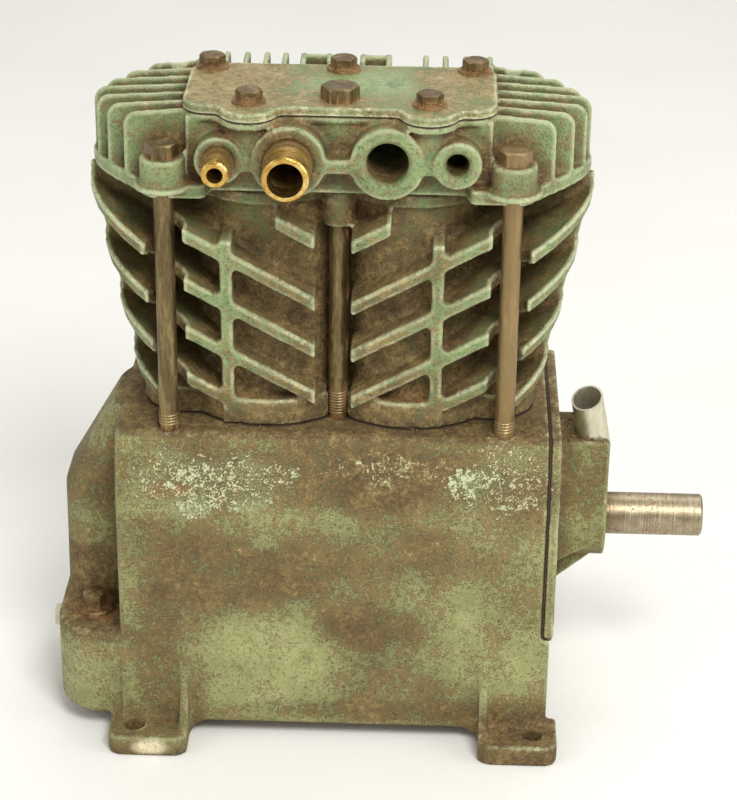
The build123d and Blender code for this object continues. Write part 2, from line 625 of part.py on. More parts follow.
def make_crankshaft_drive_end():
    """The last cheek, the drive bearing's journal and the free shaft end."""
    cheek_x = CYLINDER_X[1] + THROW_WIDTH / 2
    end = web(cheek_x, 1)
    end += journal(cheek_x + 1, DRIVE_BEARING_X, JOURNAL_R + BEARING_STEP)
    end += journal(cheek_x + 1, PLATE_X + 4, JOURNAL_R - RUNNING)
    end += journal(PLATE_X + 4, BOSS_END_X + END_PLAY * 5, SEAL_JOURNAL_R)
    nose = journal(BOSS_END_X, SHAFT_END, SHAFT_R)
    end += chamfer(nose.edges().sort_by(Axis.X)[-1], SHAFT_CHAMFER)
    key_start = SHAFT_END - KEYWAY_MARGIN - KEYWAY_LENGTH
    half = KEYWAY_WIDTH / 2
    keyway = block(key_start, key_start + KEYWAY_LENGTH, SHAFT_R - KEYWAY_DEPTH, SHAFT_R + 1,
                   CRANK_Z - half, CRANK_Z + half)
    ring_x = SHAFT_END - SHAFT_RING_INSET
    ring = journal(ring_x, ring_x + SHAFT_RING_WIDTH, SHAFT_R + 1)
    ring -= journal(ring_x, ring_x + SHAFT_RING_WIDTH, SHAFT_R - SHAFT_RING_DEPTH)
    return end - keyway - ring


def make_crankpin(number):
    """One crankpin, with a little end play between its webs."""
    half = THROW_WIDTH / 2 - END_PLAY
    x = throw_x(number)
    pin = rod_x(CRANKPIN_R - RUNNING, x - half, x + half, 0, throw_z(number))
    return pin - rod_x(CRANKPIN_R * 0.35, x - half - 1, x + half + 1, 0, throw_z(number))


def race_groove(x0):
    """The ring of space that the balls of one bearing run in."""
    ring = Torus(BEARING_PITCH_R, BEARING_BALL_R + 0.04)
    return Pos(x0 + BEARING_WIDTH / 2, 0, CRANK_Z) * Rot(0, 90, 0) * ring


def make_outer_race(x0):
    """The outer race of a ball bearing."""
    race = rod_x(BEARING_R - THREAD_CLEARANCE / 2, x0, x0 + BEARING_WIDTH, 0, CRANK_Z)
    race -= rod_x(BEARING_PITCH_R + BEARING_RACE_LAND, x0 - 1, x0 + BEARING_WIDTH + 1, 0, CRANK_Z)
    return race - race_groove(x0)


def make_inner_race(x0):
    """The inner race of a ball bearing."""
    race = rod_x(BEARING_PITCH_R - BEARING_RACE_LAND, x0, x0 + BEARING_WIDTH, 0, CRANK_Z)
    race -= rod_x(JOURNAL_R, x0 - 1, x0 + BEARING_WIDTH + 1, 0, CRANK_Z)
    return race - race_groove(x0)


def ball_places(x0):
    """Centres of the balls of one bearing."""
    step = 2 * pi / BEARING_BALLS
    return [Pos(x0 + BEARING_WIDTH / 2, BEARING_PITCH_R * sin(i * step),
                CRANK_Z + BEARING_PITCH_R * cos(i * step)) for i in range(BEARING_BALLS)]


def make_balls(x0):
    """The balls of one bearing."""
    return Compound([place * Sphere(BEARING_BALL_R) for place in ball_places(x0)])


def make_cage(x0):
    """The ring that keeps the balls of one bearing apart."""
    middle = x0 + BEARING_WIDTH / 2
    half = BEARING_BALL_R + 1.6
    cage = rod_x(BEARING_PITCH_R + 1.6, middle - half, middle + half, 0, CRANK_Z)
    cage -= rod_x(BEARING_PITCH_R - 1.6, middle - half - 1, middle + half + 1, 0, CRANK_Z)
    for place in ball_places(x0):
        cage -= place * Sphere(BEARING_BALL_R + 0.1)
    return cage


def make_shaft_seal():
    """The lip seal round the drive shaft."""
    x0 = BOSS_END_X - SEAL_WIDTH
    seal = rod_x(SEAL_R - THREAD_CLEARANCE / 2, x0, BOSS_END_X - 0.5, 0, CRANK_Z)
    seal -= rod_x(SEAL_JOURNAL_R + 4, x0 - 1, BOSS_END_X - 2.5, 0, CRANK_Z)
    return seal - rod_x(SEAL_JOURNAL_R + RUNNING, x0 - 1, BOSS_END_X + 1, 0, CRANK_Z)


# ---------------------------------------------------------------- rods and pistons

def wrist_z(number):
    """Height of one wrist pin at rest."""
    return throw_z(number) + ROD_LENGTH


def rod_blank(number):
    """The rod and its cap as one forging."""
    x = throw_x(number)
    pin_z = throw_z(number)
    top_z = wrist_z(number)
    half = THROW_WIDTH / 2 - END_PLAY
    small = rod_x(ROD_SMALL_END_R, x - 9, x + 9, 0, top_z)
    big = rod_x(ROD_BIG_END_R, x - half, x + half, 0, pin_z)
    lugs = block(x - 8, x + 8, -ROD_LUG_HALF_WIDTH, ROD_LUG_HALF_WIDTH,
                 pin_z - ROD_LUG_HEIGHT, pin_z + ROD_LUG_HEIGHT)
    shank_points = [(-ROD_SHANK_FOOT, pin_z), (ROD_SHANK_FOOT, pin_z),
                    (ROD_SHANK_TOP, top_z), (-ROD_SHANK_TOP, top_z)]
    shank = extrude(face_yz(shank_points, x - 7), 14)
    groove_low = pin_z + ROD_BIG_END_R + 5
    groove_high = top_z - ROD_SMALL_END_R - 5
    groove_points = [(-ROD_SHANK_FOOT + 4.2, groove_low), (ROD_SHANK_FOOT - 4.2, groove_low),
                     (ROD_SHANK_TOP - 3.2, groove_high), (-ROD_SHANK_TOP + 3.2, groove_high)]
    groove = extrude(face_yz(groove_points, x + ROD_WEB / 2), 10)
    shank -= groove + mirror(groove, Plane.YZ.offset(x))
    dipper = block(x - 5, x + 5, -2, 2, pin_z - ROD_BIG_END_R - DIPPER_LENGTH, pin_z)
    body = small + big + lugs + shank + dipper
    body -= rod_x(WRIST_PIN_R + RUNNING, x - 20, x + 20, 0, top_z)
    body -= rod_x(CRANKPIN_R, x - 20, x + 20, 0, pin_z)
    for y in (-ROD_BOLT_Y, ROD_BOLT_Y):
        body -= rod_z(ROD_BOLT_R + THREAD_CLEARANCE, x, y, pin_z - 30, pin_z + 11)
        body -= rod_z(ROD_BOLT_AF * 0.6, x, y, pin_z - 30, pin_z - ROD_LUG_HEIGHT)
    return body


def make_rod(number):
    """The upper part of a connecting rod."""
    x = throw_x(number)
    return rod_blank(number) & block(x - 20, x + 20, -40, 40, throw_z(number), wrist_z(number) + 30)


def make_rod_cap(number):
    """The bolted lower half of the big end, with its oil dipper."""
    x = throw_x(number)
    return rod_blank(number) & block(x - 20, x + 20, -40, 40, throw_z(number) - 60, throw_z(number))


def make_rod_bolts(number):
    """The two bolts of one big end, heads down."""
    x = throw_x(number)
    seat = throw_z(number) - ROD_LUG_HEIGHT
    bolts = []
    for y in (-ROD_BOLT_Y, ROD_BOLT_Y):
        head = hex_head(ROD_BOLT_AF, 5, x, y, seat - 5)
        bolts.append(head + rod_z(ROD_BOLT_R, x, y, seat - 0.5, seat + 2 * ROD_LUG_HEIGHT - 3))
    return Compound(bolts)


def make_wrist_pin(number):
    """The hollow pin between a rod and its piston."""
    x = throw_x(number)
    half = BORE_R - 5
    pin = rod_x(WRIST_PIN_R, x - half, x + half, 0, wrist_z(number))
    return pin - rod_x(WRIST_PIN_BORE_R, x - half - 1, x + half + 1, 0, wrist_z(number))


def clip_ring(number, side, inner, outer, width):
    """A ring just outside one end of the wrist pin."""
    x0 = throw_x(number) + side * (BORE_R - 5)
    low, high = sorted((x0 + side * 0.05, x0 + side * (0.05 + width)))
    ring = rod_x(outer, low, high, 0, wrist_z(number))
    return ring - rod_x(inner, low - 1, high + 1, 0, wrist_z(number))


def make_wrist_pin_clips(number):
    """The two open rings that keep the wrist pin in."""
    clips = []
    z = wrist_z(number)
    for side in (-1, 1):
        ring = clip_ring(number, side, WRIST_PIN_R - 1, WRIST_PIN_R + 0.75, CLIP_WIDTH)
        clips.append(ring - block(-200, 200, -2, 2, z - 12, z))
    return Compound(clips)


def crown_z(number):
    """Height of one piston crown at rest."""
    return wrist_z(number) + COMPRESSION_HEIGHT


def ring_z(number, index):
    """Lower face of one ring groove."""
    return crown_z(number) - (index + 1) * RING_PITCH


def make_piston(number):
    """One trunk piston with ring grooves and wrist pin bosses."""
    x = throw_x(number)
    z = wrist_z(number)
    top = crown_z(number)
    outer = BORE_R - PISTON_CLEARANCE
    piston = rod_z(outer, x, 0, z - PISTON_SKIRT, top)
    room = rod_z(outer - PISTON_WALL, x, 0, z - PISTON_SKIRT - 1, top - PISTON_CROWN)
    gap = ROD_SMALL_END_R + 2
    for side in (-1, 1):
        x0, x1 = sorted((x + side * 10, x + side * BORE_R))
        room -= rod_x(WRIST_BOSS_R, x0, x1, 0, z)
        room -= block(x0, x1, -WRIST_BOSS_R / 2, WRIST_BOSS_R / 2, z, z + gap + 10)
    piston -= room
    for index in range(RING_COUNT):
        low = ring_z(number, index)
        groove = rod_z(BORE_R + 1, x, 0, low, low + RING_HEIGHT)
        piston -= groove - rod_z(BORE_R - RING_DEPTH, x, 0, low, low + RING_HEIGHT)
    piston -= rod_x(WRIST_PIN_R + RUNNING, x - BORE_R - 1, x + BORE_R + 1, 0, z)
    for side in (-1, 1):
        piston -= clip_ring(number, side, WRIST_PIN_R - 2, WRIST_PIN_R + 0.8, CLIP_WIDTH + 0.1)
    return piston


def make_piston_rings(number):
    """The split rings of one piston."""
    x = throw_x(number)
    rings = []
    for index in range(RING_COUNT):
        low = ring_z(number, index) + 0.05
        high = low + RING_HEIGHT - 0.1
        ring = rod_z(BORE_R - 0.02, x, 0, low, high)
        ring -= rod_z(BORE_R - RING_DEPTH + 0.2, x, 0, low - 1, high + 1)
        side = -1 if index % 2 else 1
        y0, y1 = sorted((0, side * (BORE_R + 1)))
        rings.append(ring - block(x - 0.3, x + 0.3, y0, y1, low - 1, high + 1))
    return Compound(rings)


# ---------------------------------------------------------------- cylinder block

def plan_outline(half_length, half_depth, flat):
    """A long plan with elliptic ends; flat is the straight front's half length."""
    steps = 7
    turns = [radians(90 * i / steps) for i in range(steps + 1)]
    quarter = [(flat + (half_length - flat) * sin(t), half_depth * cos(t)) for t in turns]
    points = [(x, y) for x, y in quarter[::-1]] + [(-x, y) for x, y in quarter]
    points += [(-x, -y) for x, y in quarter[::-1][1:]] + [(x, -y) for x, y in quarter[:-1]]
    return make_face(Polyline(*points, close=True))


def fin_envelope():
    """The tapered space that the cylinder fins fill."""
    top_plan = plan_outline(FIN_TOP_HALF_LENGTH, FIN_TOP_HALF_DEPTH, FIN_FLAT)
    foot_plan = plan_outline(FIN_FOOT_HALF_LENGTH, FIN_FOOT_HALF_DEPTH, FIN_FLAT - 8)
    plans = [Pos(0, 0, BLOCK_Z) * foot_plan, Pos(0, 0, BLOCK_TOP) * top_plan]
    return loft(plans, ruled=True)


def sloping_fin(side, at_x, at_z, x0, x1):
    """One flat fin that rises outwards; its middle is at height at_z where x is at_x."""
    half = FIN_THICKNESS / 2 * sqrt(1 + FIN_SLOPE ** 2)
    low = at_z + (x0 - at_x) * FIN_SLOPE
    high = at_z + (x1 - at_x) * FIN_SLOPE
    outline = Polyline((x0, low - half), (x1, high - half), (x1, high + half), (x0, low + half),
                       close=True)
    fin = extrude(Plane.XZ * make_face(outline), FIN_TOP_HALF_DEPTH + 5, both=True)
    return fin if side > 0 else mirror(fin, Plane.YZ)


def end_rib(side):
    """The upright rib that joins the fins at one end of the block."""
    foot_x = FIN_FOOT_HALF_LENGTH - END_RIB_INSET
    top_x = FIN_TOP_HALF_LENGTH - END_RIB_INSET
    inner = CYLINDER_X[1] + BORE_R + 1
    outline = Polyline((inner, BLOCK_Z), (foot_x, BLOCK_Z), (top_x, BLOCK_TOP),
                       (inner, BLOCK_TOP), close=True)
    rib = extrude(Plane.XZ * make_face(outline), FIN_RIB_THICKNESS / 2, both=True)
    return rib if side > 0 else mirror(rib, Plane.YZ)


def centre_slots(z0, z1):
    """The spaces in front of and behind the middle web, between the fins' inner ends."""
    out = FIN_TOP_HALF_DEPTH + 7
    return both_ways(block(-FIN_INNER_LEFT, FIN_INNER_RIGHT, -out, -18, z0, z1))


def tie_grooves(z0, z1):
    """The open grooves that the outer tie bolts stand in."""
    out = FIN_TOP_HALF_DEPTH + 7
    grooves = []
    for x, y in tie_bolt_places():
        y0, y1 = sorted((y, -out if y < 0 else out))
        round_part = rod_z(TIE_GROOVE_R, x, y, z0, z1)
        grooves.append(round_part + block(x - TIE_GROOVE_R, x + TIE_GROOVE_R, y0, y1, z0, z1))
    return grooves


def block_fins():
    """The herringbone fins, the upright ribs and the short top stubs."""
    start = BLOCK_Z + FIN_START_Z
    outer_start = BLOCK_Z + OUTER_FIN_Z
    count = int(FIN_START_Z / FIN_PITCH) + 2
    far = FIN_TOP_HALF_LENGTH + 5
    rib_half = FIN_RIB_THICKNESS / 2
    deep = FIN_TOP_HALF_DEPTH + 5
    pieces = []
    for side, rib_x, inner in ((-1, -FIN_RIB_LEFT, FIN_INNER_LEFT),
                               (1, FIN_RIB_RIGHT, FIN_INNER_RIGHT)):
        for index in range(count):
            drop = index * FIN_PITCH
            pieces.append(sloping_fin(side, FIN_START_X, start - drop, 2, TIE_X))
            pieces.append(sloping_fin(side, OUTER_FIN_X, outer_start - drop, TIE_X - 1, far))
        stub_z = start + FIN_PITCH + STUB_RISE
        pieces.append(sloping_fin(side, FIN_START_X, stub_z, 2, inner + 22))
        pieces.append(block(rib_x - rib_half, rib_x + rib_half, -deep, deep, BLOCK_Z,
                            start + FIN_RIB_TOP))
        pieces.append(end_rib(side))
    fins = pieces[0]
    for piece in pieces[1:]:
        fins += piece
    fins &= fin_envelope()
    fins -= centre_slots(BLOCK_Z - 1, BLOCK_TOP + 1)
    for groove in tie_grooves(BLOCK_Z - 1, BLOCK_TOP + 1):
        fins -= groove
    return fins


def cylinder_pair(radius, z0, z1):
    """Two upright bars on the cylinder axes."""
    return rod_z(radius, CYLINDER_X[0], 0, z0, z1) + rod_z(radius, CYLINDER_X[1], 0, z0, z1)


def base_plan(z0, z1):
    """The block's foot as a solid between two heights."""
    long, deep = BLOCK_FOOT_HALF_LENGTH, BLOCK_FOOT_HALF_DEPTH
    tongue = block(-long, long, -deep, deep, z0, z1)
    plan = fillet(tongue.edges().filter_by(Axis.Z), BLOCK_FOOT_CORNER_R)
    plan += cylinder_pair(BLOCK_FLANGE_R, z0, z1)
    for groove in tie_grooves(z0 - 1, z1 + 1):
        plan -= groove
    for x, y in centre_tie_places():
        plan -= rod_z(TIE_R + 1.5, x, y, z0 - 1, z1 + 1)
    return plan


def make_cylinder_block():
    """Both barrels in one casting with fins, flanges and the middle bosses."""
    body = cylinder_pair(BARREL_R, BLOCK_Z, BLOCK_TOP)
    body += block(-14, 14, -16, 16, BLOCK_Z, BLOCK_TOP)
    body += block_fins()
    body += base_plan(BLOCK_Z, BLOCK_Z + BLOCK_FOOT_WALL)
    top_z = BLOCK_TOP - BLOCK_TOP_FLANGE
    body += cylinder_pair(BARREL_R + 4, top_z, BLOCK_TOP)
    body += block(-16, 16, CENTRE_TIE_FRONT_Y, CENTRE_TIE_BACK_Y, top_z, BLOCK_TOP)
    for x, y in centre_tie_places():
        body += rod_z(CENTRE_BOSS_R, x, y, BLOCK_TOP - CENTRE_BOSS_DROP, BLOCK_TOP)
    body -= cylinder_pair(BORE_R, BLOCK_Z - 1, BLOCK_TOP + 1)
    for x, y in centre_tie_places():
        body -= rod_z(TIE_R + HOLE_CLEARANCE, x, y, BLOCK_Z - 1, BLOCK_TOP + 1)
    return body


def make_base_gasket():
    """The gasket between the deck and the block."""
    gasket = base_plan(DECK_Z, BLOCK_Z)
    gasket -= cylinder_pair(BORE_R + 1, DECK_Z - 1, BLOCK_Z + 1)
    return gasket


def make_head_gasket():
    """The gasket between the block and the head."""
    gasket = cylinder_pair(BARREL_R + 3, BLOCK_TOP, HEAD_Z)
    gasket += block(-15, 15, CENTRE_TIE_FRONT_Y - 8, CENTRE_TIE_BACK_Y + 8, BLOCK_TOP, HEAD_Z)
    gasket -= cylinder_pair(BORE_R + 1, BLOCK_TOP - 1, HEAD_Z + 1)
    for x, y in centre_tie_places():
        gasket -= rod_z(TIE_R + HOLE_CLEARANCE, x, y, BLOCK_TOP - 1, HEAD_Z + 1)
    return gasket


# ---------------------------------------------------------------- cylinder head

def head_half_length(y):
    """Half length of the head's plan at one Y."""
    reach = abs(y)
    if reach < 42:
        return HEAD_HALF_LENGTH - (HEAD_HALF_LENGTH - 117) * (reach / 42) ** 1.6
    return 117 - (117 - HEAD_CORNER_OUT_X) * (reach - 42) / (HEAD_HALF_DEPTH - 42)


def head_flange():
    """The flat base of the head."""
    deep = HEAD_HALF_DEPTH
    waist = HEAD_WAIST_Y
    inner = HEAD_CORNER_IN_X
    ys = [-deep, -51, -42, -34, -25, -16, -8, 0, 8, 16, 25, 34, 42, 51, deep]
    right = [(head_half_length(y), y) for y in ys]
    points = [(inner, -deep)] + right + [(-x, y) for x, y in reversed(right)]
    points += [(-inner, -deep), (-inner + 4, -waist), (inner - 4, -waist)]
    plate = extrude(Pos(0, 0, HEAD_Z) * make_face(Polyline(*points, close=True)), HEAD_FLANGE)
    upright = plate.edges().filter_by(Axis.Z)
    soft = [e for e in upright if abs(abs(e.center().Y) - deep) < 0.1]
    return fillet(soft, 5.0)


def end_fin(y, side):
    """One upright fin at an end of the head, with a rounded outer corner."""
    reach = head_half_length(y) - 1
    low = HEAD_Z + 2
    top = HEAD_Z + HEAD_TOP - END_FIN_DROP
    outer_top = HEAD_Z + HEAD_TOP - END_FIN_OUTER_DROP
    inner = HEAD_CORE_HALF_LENGTH - 4
    outline = Polyline((inner, low), (reach, low), (reach, outer_top), (inner, top), close=True)
    fin = extrude(Plane.XZ.offset(-y) * make_face(outline), END_FIN_THICKNESS / 2, both=True)
    corner = fin.edges().filter_by(Axis.Y).group_by(Axis.X)[-1].sort_by(Axis.Z)[-1]
    fin = fillet(corner, END_FIN_CORNER_R)
    return fin if side > 0 else mirror(fin, Plane.YZ)


def back_fins():
    """The upright fins behind the cover, with two boxed pairs."""
    top = HEAD_Z + HEAD_TOP - 1
    half = BACK_FIN_THICKNESS / 2
    back = HEAD_HALF_DEPTH - 1
    missing = BACK_FIN_X[2]
    fins = []
    for side in (-1, 1):
        for x in BACK_FIN_X:
            if side > 0 and x == missing:
                continue
            near = 46 if x < 20 else COVER_BACK_Y - 2
            low = HEAD_Z + 2
            fins.append(block(side * x - half, side * x + half, near, back, low, top))
        x0, x1 = sorted((side * BACK_FIN_X[0], side * BACK_FIN_X[1]))
        fins.append(block(x0, x1, back - 6, back - 2.5, HEAD_Z + 2, top))
    return fins


def cover_outline():
    """The plan of the cover, its gasket and the head's rim."""
    mid_y = (COVER_FRONT_Y + COVER_BACK_Y) / 2
    deep = COVER_BACK_Y - COVER_FRONT_Y
    plan = Pos(0, mid_y) * RectangleRounded(2 * COVER_HALF_LENGTH, deep, COVER_CORNER_R)
    for side in (-1, 1):
        plan += Pos(side * COVER_LOBE_X, COVER_LOBE_Y) * Circle(COVER_LOBE_R)
    inward = [v for v in plan.vertices() if abs(v.Y - COVER_FRONT_Y) < 0.01
              and abs(abs(v.X) - COVER_LOBE_X) < COVER_LOBE_R + 1]
    return fillet(inward, 6.0)


def cover_bolt_places():
    """Plan positions of the five small cover bolts."""
    front = [(-COVER_LOBE_X, COVER_FRONT_BOLT_Y), (COVER_LOBE_X, COVER_FRONT_BOLT_Y)]
    return list(COVER_BACK_BOLTS) + front


def head_ports():
    """The four round port bosses on the front, and the web that joins them."""
    z = HEAD_Z + PORT_Z
    inner = COVER_FRONT_Y + 10
    bosses = []
    for side in (-1, 1):
        bosses.append(rod_y(PORT_BOSS_R, side * PORT_X, PORT_FACE_Y, inner, z))
        bosses.append(rod_y(SMALL_PORT_BOSS_R, side * SMALL_PORT_X, PORT_FACE_Y, inner, z))
    web_half = SMALL_PORT_X + SMALL_PORT_BOSS_R - 2
    bosses.append(block(-web_half, web_half, PORT_FACE_Y + PORT_WEB_SET_BACK, inner,
                        z - PORT_WEB_BELOW, z + PORT_WEB_ABOVE))
    return bosses


def head_chambers():
    """Inlet chamber at the back, discharge chamber at the front, less their columns."""
    long = HEAD_CORE_HALF_LENGTH - CHAMBER_WALL
    middle = (COVER_FRONT_Y + COVER_BACK_Y) / 2 + 6
    front = block(-long, long, COVER_FRONT_Y + CHAMBER_WALL, middle - 3, CHAMBER_FLOOR, RIM_TOP)
    back = block(-long, long, middle + 3, COVER_BACK_Y - CHAMBER_WALL, CHAMBER_FLOOR, RIM_TOP)
    front = fillet(front.edges().filter_by(Axis.Z), 5)
    back = fillet(back.edges().filter_by(Axis.Z), 5)
    rooms = front + back
    z = HEAD_Z + PORT_Z
    rooms -= rod_y(PORT_R + 3.5, PORT_X, COVER_FRONT_Y, middle + 2, z)
    for x, y in cover_bolt_places():
        rooms -= rod_z(COVER_BOLT_R + 4, x, y, CHAMBER_FLOOR, RIM_TOP)
    rooms -= rod_z(TIE_R + 4.5, 0, CENTRE_TIE_FRONT_Y, CHAMBER_FLOOR, RIM_TOP)
    rooms += rod_y(PORT_R, PORT_X, PORT_FACE_Y - 1, middle + 4, z)
    rooms += rod_y(PORT_R, -PORT_X, PORT_FACE_Y - 1, COVER_FRONT_Y + CHAMBER_WALL + 2, z)
    for side in (-1, 1):
        rooms += rod_y(SMALL_PORT_R, side * SMALL_PORT_X, PORT_FACE_Y - 1,
                       COVER_FRONT_Y + CHAMBER_WALL + 2, z)
        cone = Cone(PORT_R, PORT_R + PORT_CHAMFER, PORT_CHAMFER, align=LOWEST)
        rooms += Pos(side * PORT_X, PORT_FACE_Y + PORT_CHAMFER, z) * Rot(90, 0, 0) * cone
        cone = Cone(SMALL_PORT_R, SMALL_PORT_R + PORT_CHAMFER, PORT_CHAMFER, align=LOWEST)
        rooms += Pos(side * SMALL_PORT_X, PORT_FACE_Y + PORT_CHAMFER, z) * Rot(90, 0, 0) * cone
    return rooms


def make_cylinder_head():
    """The finned head with its ports, chambers and bolt bosses."""
    body = head_flange()
    core = HEAD_CORE_HALF_LENGTH
    body += block(-core, core, COVER_FRONT_Y + 2, COVER_BACK_Y - 1, HEAD_Z, RIM_TOP - 2)
    for index in range(END_FIN_COUNT):
        y = END_FIN_FRONT_Y + index * END_FIN_PITCH
        for side in (-1, 1):
            body += end_fin(y, side)
    for fin in back_fins() + head_ports():
        body += fin
    body += extrude(Pos(0, 0, RIM_TOP - COVER_RIM) * cover_outline(), COVER_RIM)
    lobes = [rod_z(COVER_LOBE_R - 2, side * COVER_LOBE_X, COVER_LOBE_Y + 3, HEAD_Z + PORT_Z,
                   RIM_TOP - 1) for side in (-1, 1)]
    for lobe in lobes:
        body += lobe
    for x, y in tie_bolt_places():
        low = HEAD_Z + CORNER_LIP_LOW
        body += rod_z(TIE_BOSS_R + CORNER_LIP, x, y, low, HEAD_Z + HEAD_FLANGE)
        body += rod_z(TIE_BOSS_R, x, y, low, HEAD_Z + HEAD_FLANGE + TIE_BOSS_HEIGHT)
    seat = HEAD_Z + HEAD_FLANGE + TIE_BOSS_HEIGHT
    body += rod_z(CENTRE_BOSS_R + 1.5, 0, CENTRE_TIE_BACK_Y, HEAD_Z, seat)
    body -= head_chambers()
    body -= extrude(Pos(0, 0, RIM_TOP) * offset(cover_outline(), COVER_GAP), HEAD_TOP)
    for x, y in tie_bolt_places() + centre_tie_places():
        body -= rod_z(TIE_R + HOLE_CLEARANCE, x, y, HEAD_Z - 1, RIM_TOP + 1)
    for x, y in tie_bolt_places():
        body -= rod_z(TIE_HEAD_AF * 0.66, x, y, seat, RIM_TOP + 10)
    body -= rod_z(CENTRE_TIE_AF * 0.6, 0, CENTRE_TIE_BACK_Y, seat, RIM_TOP + 10)
    for x, y in cover_bolt_places():
        body -= rod_z(COVER_BOLT_R + THREAD_CLEARANCE, x, y, RIM_TOP - 15, RIM_TOP + 1)
    for number in (0, 1):
        for kind in ("inlet", "discharge"):
            body -= rod_z(VALVE_PORT_R, *valve_place(kind, number), HEAD_Z - 1, CHAMBER_FLOOR + 1)
        body -= rod_z(VALVE_GUARD_R, *valve_place("inlet", number), HEAD_Z - 1,
                      HEAD_Z + valve_stack())
    return body


def make_cover_gasket():
    """The gasket under the cover."""
    gasket = extrude(Pos(0, 0, RIM_TOP) * cover_outline(), COVER_GASKET)
    for x, y in cover_bolt_places():
        gasket -= rod_z(COVER_BOLT_R + HOLE_CLEARANCE, x, y, RIM_TOP - 1, COVER_Z + 1)
    window = block(-60, 60, -24, 6, RIM_TOP - 1, COVER_Z + 1)
    gasket -= window
    return gasket - rod_z(TIE_R + HOLE_CLEARANCE, 0, CENTRE_TIE_FRONT_Y, RIM_TOP - 1, COVER_Z + 1)


def make_head_cover():
    """The flat cover plate over the valve chambers."""
    cover = extrude(Pos(0, 0, COVER_Z) * cover_outline(), COVER_THICKNESS)
    cover = chamfer(cover.faces().sort_by(Axis.Z)[-1].edges(), 0.6)
    for x, y in cover_bolt_places():
        cover -= rod_z(COVER_BOLT_R + HOLE_CLEARANCE, x, y, COVER_Z - 1, COVER_TOP + 1)
    return cover - rod_z(TIE_R + HOLE_CLEARANCE, 0, CENTRE_TIE_FRONT_Y, COVER_Z - 1, COVER_TOP + 1)


def make_cover_bolts():
    """The five small bolts of the cover."""
    bolts = []
    seat = COVER_TOP + COVER_WASHER
    for x, y in cover_bolt_places():
        head = hex_head(COVER_BOLT_AF, COVER_BOLT_HEAD, x, y, seat)
        bolts.append(head + rod_z(COVER_BOLT_R, x, y, RIM_TOP - 14, seat + 0.5))
    return Compound(bolts)


def make_cover_washers():
    """The flat washers under the cover bolts."""
    washers = []
    for x, y in cover_bolt_places():
        washer = rod_z(COVER_WASHER_R, x, y, COVER_TOP, COVER_TOP + COVER_WASHER)
        hole = rod_z(COVER_BOLT_R + 0.2, x, y, COVER_TOP - 1, COVER_TOP + COVER_WASHER + 1)
        washers.append(washer - hole)
    return Compound(washers)


def make_tie_bolts():
    """The four long corner bolts that clamp head and block to the case."""
    bolts = []
    seat = HEAD_Z + HEAD_FLANGE + TIE_BOSS_HEIGHT
    for x, y in tie_bolt_places():
        head = hex_head(TIE_HEAD_AF, TIE_HEAD_HEIGHT, x, y, seat)
        shank = rod_z(TIE_R, x, y, DECK_Z - TIE_THREAD_DEPTH + 1, seat + 0.5)
        bolts.append(head + shank)
    return Compound(bolts)


def make_centre_tie_bolts():
    """The two long bolts between the cylinders; the front one goes through the cover."""
    bolts = []
    seats = (COVER_TOP, HEAD_Z + HEAD_FLANGE + TIE_BOSS_HEIGHT)
    for (x, y), seat in zip(centre_tie_places(), seats):
        head = hex_head(CENTRE_TIE_AF, TIE_HEAD_HEIGHT + 0.6, x, y, seat)
        shank = rod_z(TIE_R, x, y, DECK_Z - TIE_THREAD_DEPTH + 1, seat + 0.5)
        bolts.append(head + shank)
    return Compound(bolts)


# ---------------------------------------------------------------- fittings

def nipple(x, thread_r, collar_r, collar, outer_r, bore_r, length):
    """A pipe stub screwed into one port."""
    z = HEAD_Z + PORT_Z
    face = PORT_FACE_Y
    body = rod_y(thread_r, x, face - 1, face + NIPPLE_THREAD, z)
    body += rod_y(collar_r, x, face - collar, face, z)
    stub = rod_y(outer_r, x, face - length, face - collar + 1, z)
    body += chamfer(stub.edges().sort_by(Axis.Y)[0], (outer_r - bore_r) * 0.3)
    return body - rod_y(bore_r, x, face - length - 1, face + NIPPLE_THREAD + 1, z)


def make_discharge_nipple():
    """The large brass outlet stub."""
    return nipple(-PORT_X, PORT_R - THREAD_CLEARANCE, NIPPLE_COLLAR_R, NIPPLE_COLLAR, NIPPLE_R,
                  NIPPLE_BORE_R, NIPPLE_LENGTH)


def make_pilot_nipple():
    """The small brass stub for the unloader line."""
    return nipple(-SMALL_PORT_X, SMALL_PORT_R - THREAD_CLEARANCE, PILOT_COLLAR_R, PILOT_COLLAR,
                  PILOT_R, PILOT_BORE_R, PILOT_LENGTH)


def make_oil_fill_plug():
    """The hexagon plug on the sump ledge."""
    x, y = FILL_PLUG_X, FILL_PLUG_Y
    seat = SUMP_TOP + FILL_PLUG_COLLAR
    collar = rod_z(FILL_PLUG_COLLAR_R, x, y, SUMP_TOP, seat)
    collar = chamfer(collar.edges().sort_by(Axis.Z)[-1], FILL_PLUG_COLLAR / 3)
    thread = rod_z(FILL_PLUG_R, x, y, SUMP_TOP - SUMP_WALL, SUMP_TOP + 1)
    return collar + thread + hex_head(FILL_PLUG_AF, FILL_PLUG_HEX, x, y, seat - 0.5)


def make_oil_drain_plug():
    """The small steel plug low on the blind end."""
    y, z = DRAIN_PLUG_Y, DRAIN_PLUG_Z
    half = DRAIN_PLUG_AF / 2
    head = block(SUMP_X - DRAIN_PLUG_HEAD, SUMP_X, y - half, y + half, z - half, z + half)
    head = fillet(head.edges().filter_by(Axis.X), 1.0)
    return head + rod_x(DRAIN_PLUG_R, SUMP_X - 0.5, SUMP_X + SUMP_WALL, y, z)


# ---------------------------------------------------------------- valves

def valve_stack():
    """Height of a valve: disc, lift room, closed spring and guard roof."""
    return VALVE_DISC + VALVE_SPRING_LENGTH + VALVE_GUARD_WALL


